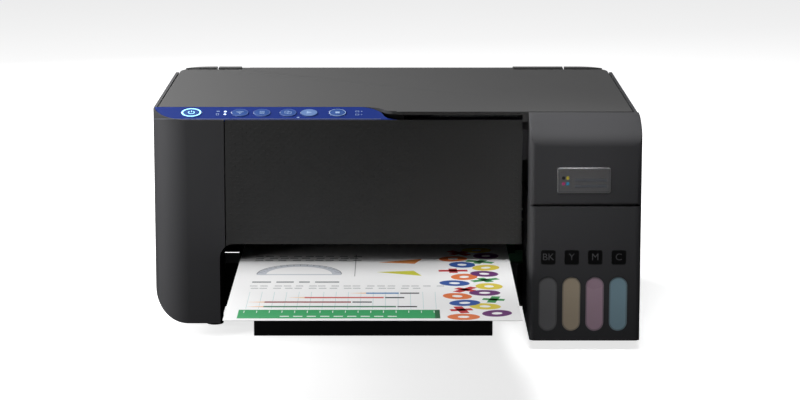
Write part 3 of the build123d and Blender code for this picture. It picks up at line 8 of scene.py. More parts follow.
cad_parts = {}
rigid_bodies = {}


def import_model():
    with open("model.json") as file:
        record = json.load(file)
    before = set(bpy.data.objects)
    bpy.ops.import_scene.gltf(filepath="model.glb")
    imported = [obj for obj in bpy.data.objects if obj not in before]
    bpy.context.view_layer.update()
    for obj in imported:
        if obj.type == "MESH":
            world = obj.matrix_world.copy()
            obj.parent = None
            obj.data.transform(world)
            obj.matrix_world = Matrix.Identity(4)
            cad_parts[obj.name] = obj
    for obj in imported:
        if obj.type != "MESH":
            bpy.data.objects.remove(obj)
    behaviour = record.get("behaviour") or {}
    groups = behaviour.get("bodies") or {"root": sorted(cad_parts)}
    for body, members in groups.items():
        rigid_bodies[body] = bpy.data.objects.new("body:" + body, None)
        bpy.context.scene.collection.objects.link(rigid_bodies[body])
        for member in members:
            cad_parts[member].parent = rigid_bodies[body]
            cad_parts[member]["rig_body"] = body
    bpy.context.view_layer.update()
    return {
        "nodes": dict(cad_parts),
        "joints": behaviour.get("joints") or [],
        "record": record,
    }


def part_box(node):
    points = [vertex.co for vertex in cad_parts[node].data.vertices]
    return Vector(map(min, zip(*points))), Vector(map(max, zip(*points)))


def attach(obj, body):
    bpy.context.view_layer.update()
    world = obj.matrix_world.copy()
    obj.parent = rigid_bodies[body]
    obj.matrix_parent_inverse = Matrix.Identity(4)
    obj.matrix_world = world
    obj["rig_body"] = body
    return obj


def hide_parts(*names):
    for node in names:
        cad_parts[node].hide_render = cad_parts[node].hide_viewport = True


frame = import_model()

bl_info = {
    "name": "Ink Tank Printer",
    "version": (1, 0, 0),
    "blender": (4, 5, 0),
    "location": "3D View > Sidebar > Printer",
    "description": "Finishes, printed marks and fine parts of an ink tank printer",
    "category": "Object",
}

MM = 0.001
FINE = 0.02 * MM
CLEAR = 0.05 * MM

# Places taken from the frame
JOINTS = {joint["name"]: joint for joint in frame["joints"]}
STRIP_LOW, STRIP_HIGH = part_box("control_panel")
PANEL_LOW, PANEL_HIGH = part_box("front_panel")
COVER_LOW, COVER_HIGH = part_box("tank_cover")
TANK_LOW, TANK_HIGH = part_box("tank_housing")
BADGE_LOW, BADGE_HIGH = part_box("tank_badge")
SHEET_LOW, SHEET_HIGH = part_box("printed_sheet")
PRESS_AXIS = JOINTS["power_button_press"]["axis"]
STRIP_ANGLE = math.atan2(PRESS_AXIS[1], -PRESS_AXIS[2])


def rgb(red, green, blue):
    """A linear colour from display values between 0 and 255."""

    def linear(value):
        value /= 255
        return value / 12.92 if value <= 0.04045 else ((value + 0.055) / 1.055) ** 2.4

    return (linear(red), linear(green), linear(blue), 1.0)


def middle_x(node):
    """The middle of a node along X."""
    low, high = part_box(node)
    return (low.x + high.x) / 2


# The strip
KEYS = ("power_button", "wireless_button", "status_button", "mono_copy_button", "start_button", "stop_button")
KEY_PROUD = 0.5 * MM
LAMP_X = -130.7 * MM
WARNING_X = -28.4 * MM
DIAMOND_X = -74.0 * MM
CORNER_R = 11.0 * MM

# The ink windows, with the tone seen through each and its label
WINDOW_BASE = 15.0 * MM
WINDOW_TOP = 57.2 * MM
WINDOW_HALF = 7.05 * MM
INKS = (
    ("black", rgb(118, 118, 120), "BK"),
    ("yellow", rgb(196, 181, 158), "Y"),
    ("magenta", rgb(196, 167, 184), "M"),
    ("cyan", rgb(152, 184, 198), "C"),
)
DROPS = (rgb(40, 40, 42), rgb(206, 190, 70), rgb(176, 70, 120), rgb(60, 140, 180))

# The worksheet, in millimetres from the sheet's front left corner
RULER_X, RULER_Y, RULER_LONG, RULER_WIDE = 9.5, 7.0, 143.0, 28.0
GRID_X, GRID_Y, GRID_LONG, GRID_WIDE = 14.0, 38.0, 136.0, 58.0
PENCIL_Y, PENCIL_GAP = 45.5, 15.3
PENCILS = (("green", 26.5, 95.0), ("maroon", 26.5, 62.5), ("red", 55.0, 57.5), ("blue", 99.5, 24.0))
TITLE_Y, NOTE_Y, TOP_Y = 129.0, 116.0, 212.0
TITLE = ((14, 14, 4), (32, 13, 4), (49, 8, 4), (61, 18, 4))
ARC_X, ARC_Y, ARC_R = 48.0, 160.0, 32.0
DIVIDER_X = 90.0
BEAD_X, BEAD_GAP, BEAD_COUNT = 178.0, 11.5, 22
BEADS = (
    ("orange", rgb(224, 118, 62)),
    ("purple", rgb(104, 44, 110)),
    ("red", rgb(196, 52, 56)),
    ("yellow", rgb(222, 202, 70)),
    ("blue", rgb(44, 84, 160)),
    ("green", rgb(66, 150, 84)),
)


# Settings


def colour_property(name, description, default):
    return bpy.props.FloatVectorProperty(
        name=name, description=description, default=default, size=4, subtype="COLOR", min=0, max=1
    )


def length_property(name, description, default):
    return bpy.props.FloatProperty(name=name, description=description, default=default, min=0, unit="LENGTH")


class PRINTER_PG_colours(bpy.types.PropertyGroup):
    body: colour_property("Body", "Moulded black of the casing", rgb(17, 17, 18))
    lid: colour_property("Lid", "Brushed black of the lid", rgb(26, 26, 27))
    panel: colour_property("Panel", "Black of the front panel", rgb(14, 14, 15))
    strip: colour_property("Strip", "Blue of the control strip", rgb(20, 50, 150))
    print_white: colour_property("Print", "Pale print on the strip", rgb(170, 200, 240))
    glow: colour_property("Glow", "Light of the power ring", rgb(150, 215, 255))
    silver: colour_property("Silver", "Badge plate", rgb(190, 191, 194))
    paper: colour_property("Paper", "Sheet in the tray", rgb(246, 247, 248))


class PRINTER_PG_sizes(bpy.types.PropertyGroup):
    edge: length_property("Edge", "Radius of a moulded edge", 0.45 * MM)
    relief_pitch: length_property("Relief pitch", "Distance between triangles in a row", 5.8 * MM)
    relief_depth: length_property("Relief depth", "Depth of a triangle", 0.3 * MM)
    relief_margin: length_property("Relief margin", "Plain border of the front panel", 1.2 * MM)
    relief_wall: length_property("Relief wall", "Wall left between triangles", 0.5 * MM)
    mark: length_property("Mark", "Thickness of a printed mark", 0.06 * MM)
    tile: length_property("Tile", "Side of a colour label", 11.0 * MM)
    tile_height: length_property("Tile height", "Middle of the labels above the table", 72.4 * MM)


# Node groups and finishes


def socket(group, name, direction, kind, default=None):
    item = group.interface.new_socket(name=name, in_out=direction, socket_type=kind)
    if default is not None:
        item.default_value = default
    return item


def object_vector(nodes, links, scale=(1, 1, 1)):
    """Object coordinates scaled along each axis."""
    coordinate = nodes.new("ShaderNodeTexCoord")
    mapping = nodes.new("ShaderNodeMapping")
    mapping.inputs["Scale"].default_value = scale
    links.new(coordinate.outputs["Object"], mapping.inputs["Vector"])
    return mapping.outputs["Vector"]


def grain_group():
    """The fine spark grain of a mould: a height and a tone mask."""
    name = "Mould Grain"
    if name in bpy.data.node_groups:
        return bpy.data.node_groups[name]
    group = bpy.data.node_groups.new(name, "ShaderNodeTree")
    socket(group, "Size", "INPUT", "NodeSocketFloat", 900.0)
    socket(group, "Height", "OUTPUT", "NodeSocketFloat")
    socket(group, "Tone", "OUTPUT", "NodeSocketFloat")
    nodes, links = group.nodes, group.links
    entry, leave = nodes.new("NodeGroupInput"), nodes.new("NodeGroupOutput")
    vector = object_vector(nodes, links)
    fine = nodes.new("ShaderNodeTexNoise")
    fine.inputs["Detail"].default_value = 2.0
    links.new(vector, fine.inputs["Vector"])
    links.new(entry.outputs["Size"], fine.inputs["Scale"])
    broad = nodes.new("ShaderNodeTexNoise")
    broad.inputs["Scale"].default_value = 14.0
    broad.inputs["Detail"].default_value = 4.0
    links.new(vector, broad.inputs["Vector"])
    links.new(fine.outputs["Fac"], leave.inputs["Height"])
    links.new(broad.outputs["Fac"], leave.inputs["Tone"])
    return group


def dust_group():
    """A thin, uneven film of dust and handling marks, strongest on faces that look up."""
    name = "Light Dust"
    if name in bpy.data.node_groups:
        return bpy.data.node_groups[name]
    group = bpy.data.node_groups.new(name, "ShaderNodeTree")
    socket(group, "Amount", "INPUT", "NodeSocketFloat", 0.1)
    socket(group, "Mask", "OUTPUT", "NodeSocketFloat")
    nodes, links = group.nodes, group.links
    entry, leave = nodes.new("NodeGroupInput"), nodes.new("NodeGroupOutput")
    vector = object_vector(nodes, links)
    cloud = nodes.new("ShaderNodeTexNoise")
    cloud.inputs["Scale"].default_value = 45.0
    cloud.inputs["Detail"].default_value = 6.0
    cloud.inputs["Roughness"].default_value = 0.7
    links.new(vector, cloud.inputs["Vector"])
    ramp = nodes.new("ShaderNodeMapRange")
    ramp.inputs["From Min"].default_value = 0.42
    ramp.inputs["From Max"].default_value = 0.75
    links.new(cloud.outputs["Fac"], ramp.inputs["Value"])
    geometry = nodes.new("ShaderNodeNewGeometry")
    split = nodes.new("ShaderNodeSeparateXYZ")
    links.new(geometry.outputs["Normal"], split.inputs["Vector"])
    up = nodes.new("ShaderNodeMapRange")
    up.inputs["From Min"].default_value = -0.2
    up.inputs["To Min"].default_value = 0.15
    links.new(split.outputs["Z"], up.inputs["Value"])
    both = nodes.new("ShaderNodeMath")
    both.operation = "MULTIPLY"
    links.new(ramp.outputs["Result"], both.inputs[0])
    links.new(up.outputs["Result"], both.inputs[1])
    amount = nodes.new("ShaderNodeMath")
    amount.operation = "MULTIPLY"
    links.new(both.outputs["Value"], amount.inputs[0])
    links.new(entry.outputs["Amount"], amount.inputs[1])
    links.new(amount.outputs["Value"], leave.inputs["Mask"])
    return group


def line_group():
    """Fine parallel lines along Y, as on brushed metal or the lid's grained skin."""
    name = "Brushed Lines"
    if name in bpy.data.node_groups:
        return bpy.data.node_groups[name]
    group = bpy.data.node_groups.new(name, "ShaderNodeTree")
    socket(group, "Pitch", "INPUT", "NodeSocketVector", (900.0, 12.0, 900.0))
    socket(group, "Height", "OUTPUT", "NodeSocketFloat")
    socket(group, "Tone", "OUTPUT", "NodeSocketFloat")
    nodes, links = group.nodes, group.links
    entry, leave = nodes.new("NodeGroupInput"), nodes.new("NodeGroupOutput")
    coordinate = nodes.new("ShaderNodeTexCoord")
    stretch = nodes.new("ShaderNodeVectorMath")
    stretch.operation = "MULTIPLY"
    links.new(coordinate.outputs["Object"], stretch.inputs[0])
    links.new(entry.outputs["Pitch"], stretch.inputs[1])
    noise = nodes.new("ShaderNodeTexNoise")
    noise.inputs["Scale"].default_value = 1.0
    noise.inputs["Detail"].default_value = 3.0
    links.new(stretch.outputs["Vector"], noise.inputs["Vector"])
    links.new(noise.outputs["Fac"], leave.inputs["Height"])
    broad = nodes.new("ShaderNodeTexNoise")
    broad.inputs["Scale"].default_value = 0.12
    broad.inputs["Detail"].default_value = 4.0
    links.new(stretch.outputs["Vector"], broad.inputs["Vector"])
    links.new(broad.outputs["Fac"], leave.inputs["Tone"])
    return group


def place_group(material, group, **values):
    node = material.node_tree.nodes.new("ShaderNodeGroup")
    node.node_tree = group
    for name, value in values.items():
        node.inputs[name].default_value = value
    return node


def shaded(material, tone, colour, spread):
    """The base colour, lightened and darkened by a mask."""
    nodes, links = material.node_tree.nodes, material.node_tree.links
    mix = nodes.new("ShaderNodeMix")
    mix.data_type = "RGBA"
    dark = [channel * (1 - spread) for channel in colour[:3]] + [1]
    light = [min(1, channel * (1 + spread)) for channel in colour[:3]] + [1]
    mix.inputs["A"].default_value = dark
    mix.inputs["B"].default_value = light
    links.new(tone, mix.inputs["Factor"])
    return mix.outputs["Result"]


def dusted(material, colour, amount):
    """A colour with a little pale dust over it."""
    nodes, links = material.node_tree.nodes, material.node_tree.links
    dust = place_group(material, dust_group(), Amount=amount)
    mix = nodes.new("ShaderNodeMix")
    mix.data_type = "RGBA"
    links.new(dust.outputs["Mask"], mix.inputs["Factor"])
    links.new(colour, mix.inputs["A"])
    mix.inputs["B"].default_value = rgb(150, 148, 142)
    return mix.outputs["Result"]


def roughened(material, tone, low, high):
    nodes, links = material.node_tree.nodes, material.node_tree.links
    spread = nodes.new("ShaderNodeMapRange")
    spread.inputs["To Min"].default_value = low
    spread.inputs["To Max"].default_value = high
    links.new(tone, spread.inputs["Value"])
    return spread.outputs["Result"]


def bumped(material, height, strength, distance):
    nodes, links = material.node_tree.nodes, material.node_tree.links
    bump = nodes.new("ShaderNodeBump")
    bump.inputs["Strength"].default_value = strength
    bump.inputs["Distance"].default_value = distance
    links.new(height, bump.inputs["Height"])
    return bump.outputs["Normal"]


def blank(name):
    """A material with an empty Principled shader."""
    material = bpy.data.materials.new(name)
    material.use_nodes = True
    return material, material.node_tree.nodes["Principled BSDF"]


def moulded(name, colour, low=0.38, high=0.5, grain=1100.0, bump=0.25, dust=0.03, spread=0.12):
    """Moulded plastic: spark grain, a slightly uneven tone and a trace of dust."""
    material, shader = blank(name)
    links = material.node_tree.links
    skin = place_group(material, grain_group(), Size=grain)
    tint = shaded(material, skin.outputs["Tone"], colour, spread)
    links.new(dusted(material, tint, dust), shader.inputs["Base Color"])
    links.new(roughened(material, skin.outputs["Tone"], low, high), shader.inputs["Roughness"])
    links.new(bumped(material, skin.outputs["Height"], bump, 0.02 * MM), shader.inputs["Normal"])
    return material


def brushed(name, colour, metallic, low, high, pitch, bump, spread=0.15, dust=0.02, specular=0.5):
    """A surface with fine lines along one direction."""
    material, shader = blank(name)
    links = material.node_tree.links
    skin = place_group(material, line_group(), Pitch=pitch)
    tint = shaded(material, skin.outputs["Tone"], colour, spread)
    links.new(dusted(material, tint, dust), shader.inputs["Base Color"])
    links.new(roughened(material, skin.outputs["Height"], low, high), shader.inputs["Roughness"])
    links.new(bumped(material, skin.outputs["Height"], bump, 0.03 * MM), shader.inputs["Normal"])
    shader.inputs["Metallic"].default_value = metallic
    shader.inputs["Specular IOR Level"].default_value = specular
    return material


def coated(name, colour, low=0.2, high=0.3, coat=0.6, spread=0.08):
    """Gloss plastic or printed film under a clear coat."""
    material = moulded(name, colour, low, high, 700.0, 0.08, 0.01, spread)
    shader = material.node_tree.nodes["Principled BSDF"]
    shader.inputs["Coat Weight"].default_value = coat
    shader.inputs["Coat Roughness"].default_value = 0.08
    return material


def glowing(name, colour, strength):
    """A lit light guide."""
    material = moulded(name, colour, 0.2, 0.3, 800.0, 0.05, 0.0, 0.05)
    shader = material.node_tree.nodes["Principled BSDF"]
    shader.inputs["Emission Color"].default_value = colour
    shader.inputs["Emission Strength"].default_value = strength
    return material


def clear_glass(name):
    material, shader = blank(name)
    links = material.node_tree.links
    skin = place_group(material, grain_group(), Size=30.0)
    links.new(roughened(material, skin.outputs["Tone"], 0.02, 0.06), shader.inputs["Roughness"])
    shader.inputs["Base Color"].default_value = rgb(205, 225, 220)
    shader.inputs["Transmission Weight"].default_value = 1.0
    shader.inputs["IOR"].default_value = 1.5
    return material


def floor_white():
    """A pale floor that keeps its soft shadow and sends little light back up."""
    material = bpy.data.materials.new("floor_white")
    material.use_nodes = True
    nodes, links = material.node_tree.nodes, material.node_tree.links
    nodes.clear()
    seen = nodes.new("ShaderNodeBsdfPrincipled")
    seen.inputs["Base Color"].default_value = (0.9, 0.9, 0.9, 1)
    seen.inputs["Roughness"].default_value = 0.9
    seen.inputs["Specular IOR Level"].default_value = 0.0
    seen.inputs["Emission Color"].default_value = (1, 1, 1, 1)
    seen.inputs["Emission Strength"].default_value = 0.76
    bounced = nodes.new("ShaderNodeBsdfDiffuse")
    bounced.inputs["Color"].default_value = (0.03, 0.03, 0.03, 1)
    path, mix, leave = (nodes.new(kind) for kind in (
        "ShaderNodeLightPath", "ShaderNodeMixShader", "ShaderNodeOutputMaterial"))
    links.new(path.outputs["Is Camera Ray"], mix.inputs["Fac"])
    links.new(bounced.outputs["BSDF"], mix.inputs[1])
    links.new(seen.outputs["BSDF"], mix.inputs[2])
    links.new(mix.outputs["Shader"], leave.inputs["Surface"])
    return material


def finish(slot):
    """The finish of one material slot, made at its first use."""
    found = bpy.data.materials.get(slot)
    if found:
        return found
    colours = bpy.context.scene.printer_colours
    if slot == "body_black":
        return moulded(slot, colours.body, 0.36, 0.46, 1300.0, 0.2, 0.01)
    if slot == "panel_black":
        return moulded(slot, colours.panel, 0.34, 0.44, 1600.0, 0.12, 0.006)
    if slot == "lid_black":
        return brushed(slot, colours.lid, 0.0, 0.28, 0.46, (700.0, 10.0, 700.0), 0.5, 0.2, 0.003, 0.36)
    if slot == "control_blue":
        return coated(slot, colours.strip, 0.24, 0.34, 0.35)
    if slot == "button_blue":
        return coated(slot, rgb(24, 56, 152), 0.28, 0.38, 0.3)
    if slot == "tank_clear":
        return coated(slot, rgb(44, 44, 46), 0.2, 0.3, 0.4)
    if slot == "badge_silver":
        return brushed(slot, colours.silver, 0.45, 0.3, 0.45, (40.0, 40.0, 2600.0), 0.3, 0.08)
    if slot == "inner_grey":
        return moulded(slot, rgb(70, 70, 72), 0.45, 0.6, 900.0, 0.3, 0.05)
    if slot == "steel":
        return brushed(slot, rgb(160, 161, 163), 1.0, 0.28, 0.45, (900.0, 40.0, 900.0), 0.25, 0.1)
    if slot == "rubber":
        return moulded(slot, rgb(32, 32, 32), 0.7, 0.85, 600.0, 0.5, 0.08)
    if slot == "belt":
        return brushed(slot, rgb(38, 38, 38), 0.0, 0.6, 0.8, (900.0, 900.0, 60.0), 0.5, 0.1)
    if slot == "glass":
        return clear_glass(slot)
    if slot == "pad_white":
        return moulded(slot, rgb(226, 226, 223), 0.5, 0.65, 400.0, 0.3, 0.03, 0.03)
    if slot == "paper":
        return moulded(slot, colours.paper, 0.75, 0.9, 2200.0, 0.3, 0.0, 0.015)
    if slot == "board":
        return coated(slot, rgb(20, 92, 50), 0.3, 0.45, 0.4)
    if slot == "cap_grey":
        return moulded(slot, rgb(74, 74, 76), 0.5, 0.62, 900.0, 0.2, 0.03)
    raise RuntimeError("there is no finish for " + slot)


SLOTS = {part["node"]: part["material_slot"] for part in frame["record"]["subparts"]}
BODY_OF = {name: frame["nodes"][name]["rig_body"] for name in frame["nodes"]}


# Making pieces


def add_piece(name, bm, material, body):
    """A finished mesh becomes a piece that rides with one body."""
    bmesh.ops.recalc_face_normals(bm, faces=bm.faces)
    mesh = bpy.data.meshes.new(name)
    bm.to_mesh(mesh)
    bm.free()
    mesh.materials.append(material)
    piece = bpy.data.objects.new(name, mesh)
    bpy.context.scene.collection.objects.link(piece)
    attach(piece, body)
    return piece


def refined(node, edge, material=None, segments=2):
    """A copy of a part of the frame with its small mould radii, shown in the part's place."""
    bm = bmesh.new()
    bm.from_mesh(frame["nodes"][node].data)
    bmesh.ops.remove_doubles(bm, verts=bm.verts, dist=0.002 * MM)
    bmesh.ops.dissolve_limit(bm, angle_limit=math.radians(0.3), verts=bm.verts, edges=bm.edges)
    mesh = bpy.data.meshes.new(node + "_shell")
    bm.to_mesh(mesh)
    bm.free()
    mesh.materials.clear()
    mesh.materials.append(material or finish(SLOTS[node]))
    mesh.shade_smooth()
    mesh.set_sharp_from_angle(angle=math.radians(32))
    piece = bpy.data.objects.new(node + "_shell", mesh)
    bpy.context.scene.collection.objects.link(piece)
    bevel = piece.modifiers.new("Mould edge", "BEVEL")
    bevel.width = edge
    bevel.segments = segments
    bevel.limit_method = "ANGLE"
    bevel.angle_limit = math.radians(38)
    bevel.harden_normals = True
    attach(piece, BODY_OF[node])
    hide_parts(node)
    return piece


def ring(bm, place, inner, outer, low, high, start=0.0, turn=math.tau, steps=40):
    """A flat ring, or an arc of one, turned from its section."""
    old = set(bm.verts)
    corners = ((inner, low), (outer, low), (outer, high), (inner, high))
    section = [bm.verts.new((radius, 0, height)) for radius, height in corners]
    edges = [bm.edges.new((section[i - 1], section[i])) for i in range(4)]
    whole = abs(turn - math.tau) < 1e-6
    bmesh.ops.spin(
        bm, geom=section + edges, cent=(0, 0, 0), axis=(0, 0, 1), dvec=(0, 0, 0),
        angle=turn, steps=steps, use_merge=whole, use_duplicate=False,
    )
    new = [vert for vert in bm.verts if vert not in old]
    if not whole:
        rims = [edge for vert in new for edge in vert.link_edges if edge.is_boundary]
        bmesh.ops.holes_fill(bm, edges=list(set(rims)), sides=4)
    turned = place @ Matrix.Rotation(start, 4, "Z")
    bmesh.ops.transform(bm, matrix=turned, verts=new)


def disc(bm, place, radius, low, high, segments=32):
    shape = place @ Matrix.Translation((0, 0, (low + high) / 2))
    bmesh.ops.create_cone(
        bm, cap_ends=True, cap_tris=False, segments=segments,
        radius1=radius, radius2=radius, depth=high - low, matrix=shape,
    )


def bar(bm, place, x0, x1, y0, y1, low, high):
    """A flat rectangular mark."""
    size = Matrix.Diagonal((x1 - x0, y1 - y0, high - low, 1))
    centre = Matrix.Translation(((x0 + x1) / 2, (y0 + y1) / 2, (low + high) / 2))
    bmesh.ops.create_cube(bm, size=1.0, matrix=place @ centre @ size)


def prism(bm, place, points, low, high):
    """A flat mark of any outline."""
    base = bm.faces.new([bm.verts.new((x, y, low)) for x, y in points])
    grown = bmesh.ops.extrude_face_region(bm, geom=[base])
    top = [item for item in grown["geom"] if isinstance(item, bmesh.types.BMVert)]
    bmesh.ops.translate(bm, vec=(0, 0, high - low), verts=top)
    bmesh.ops.transform(bm, matrix=place, verts=list(base.verts) + top)


def capsule_points(radius, straight, steps=16):
    """The outline of an upright capsule with round ends."""
    turns = [math.pi * step / steps for step in range(steps + 1)]
    upper = [(radius * math.cos(turn), straight + radius * math.sin(turn)) for turn in turns]
    return upper + [(-x, -y) for x, y in upper]


def capsule(bm, place, radius, straight, low, high):
    prism(bm, place, capsule_points(radius, straight), low, high)


def rim_loop(bm, place, inner, outer, straight, low, high):
    """A capsule shaped rim."""
    old = set(bm.verts)
    loops = []
    for radius in (inner, outer):
        corners = [bm.verts.new((x, y, low)) for x, y in capsule_points(radius, straight)]
        loops += [bm.edges.new((corners[i - 1], corners[i])) for i in range(len(corners))]
    band = bmesh.ops.bridge_loops(bm, edges=loops)["faces"]
    grown = bmesh.ops.extrude_face_region(bm, geom=band)
    top = [item for item in grown["geom"] if isinstance(item, bmesh.types.BMVert)]
    bmesh.ops.translate(bm, vec=(0, 0, high - low), verts=top)
    bmesh.ops.transform(bm, matrix=place, verts=[vert for vert in bm.verts if vert not in old])


def outline(bm, place, x0, x1, y0, y1, width, low, high):
    """A thin rectangular frame."""
    bar(bm, place, x0, x1, y0, y0 + width, low, high)
    bar(bm, place, x0, x1, y1 - width, y1, low, high)
    bar(bm, place, x0, x0 + width, y0 + width, y1 - width, low, high)
    bar(bm, place, x1 - width, x1, y0 + width, y1 - width, low, high)


def letters(bm, place, text, size, height):
    """Plain capital letters, centred, as a solid mark."""
    curve = bpy.data.curves.new("letters", "FONT")
    curve.body = text
    curve.size = size
    curve.align_x = "CENTER"
    curve.align_y = "CENTER"
    curve.extrude = height
    word = bpy.data.objects.new("letters", curve)
    bpy.context.scene.collection.objects.link(word)
    mesh = bpy.data.meshes.new_from_object(word)
    mesh.transform(place)
    bm.from_mesh(mesh)
    bpy.data.objects.remove(word)
    bpy.data.curves.remove(curve)
    bpy.data.meshes.remove(mesh)


# The sloping strip: X along it, Y up the slope from its rear edge, Z out of its face
SLOPE = Matrix.Rotation(STRIP_ANGLE, 4, "X")
STRIP_PLACE = Matrix.Translation((0, STRIP_HIGH.y, STRIP_HIGH.z)) @ SLOPE


def on_strip(node, lift=0.0):
    """The place of a button's middle on the strip, raised by lift."""
    low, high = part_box(node)
    along = ((low.y + high.y) / 2 - STRIP_HIGH.y) / math.cos(STRIP_ANGLE)
    return STRIP_PLACE @ Matrix.Translation(((low.x + high.x) / 2, along, lift))


class PRINTER_OT_casing(bpy.types.Operator):
    """The moulded outer shells, with their fine edge radii"""

    bl_idname = "printer.casing"
    bl_label = "Casing"

    def execute(self, context):
        edge = context.scene.printer_sizes.edge
        shells = (
            "left_housing", "right_housing", "rear_housing", "base_case", "tank_housing", "tank_cover",
            "scanner_base", "scanner_bezel", "feeder_guard", "paper_support", "paper_support_extension",
        )
        for node in shells:
            refined(node, edge)
        for node in ("output_tray", "output_tray_extension"):
            refined(node, 0.3 * MM)
        refined("rubber_feet", 0.8 * MM)
        return {"FINISHED"}


class PRINTER_OT_lid(bpy.types.Operator):
    """The document lid with its finely lined skin"""

    bl_idname = "printer.lid"
    bl_label = "Lid"

    def execute(self, context):
        refined("document_lid", 0.9 * MM, segments=3)
        return {"FINISHED"}


class PRINTER_OT_front_panel(bpy.types.Operator):
    """The front panel and its staggered rows of small raised triangles"""

    bl_idname = "printer.front_panel"
    bl_label = "Front panel"

    def execute(self, context):
        sizes = context.scene.printer_sizes
        refined("front_panel", 0.3 * MM)
        pitch, rise = sizes.relief_pitch, sizes.relief_pitch / 2
        half = (rise - sizes.relief_wall) / 2
        left, right = PANEL_LOW.x + sizes.relief_margin, PANEL_HIGH.x - sizes.relief_margin
        bottom, top = PANEL_LOW.z + sizes.relief_margin, PANEL_HIGH.z - 2 * sizes.relief_margin
        outward = Matrix.Rotation(math.pi / 2, 4, "X")
        tip_up = Matrix.Rotation(math.pi / 2, 4, "Z")
        bm = bmesh.new()
        rows = int((top - bottom) / rise)
        for row in range(rows):
            z = top - (row + 0.5) * rise
            shift = pitch / 2 if row % 2 else 0
            across = int((right - left - shift) / pitch)
            for step in range(across):
                x = left + shift + (step + 0.5) * pitch
                if x - left < CORNER_R and z - bottom < CORNER_R:
                    continue
                spot = Matrix.Translation((x, PANEL_LOW.y, z))
                bmesh.ops.create_cone(
                    bm, cap_ends=True, cap_tris=False, segments=3, radius1=2 * half,
                    radius2=half, depth=sizes.relief_depth,
                    matrix=spot @ outward @ Matrix.Diagonal((1.25, 0.75, 1, 1)) @ tip_up,
                )
        add_piece("panel_relief", bm, finish("panel_black"), "scanner_unit")
        return {"FINISHED"}


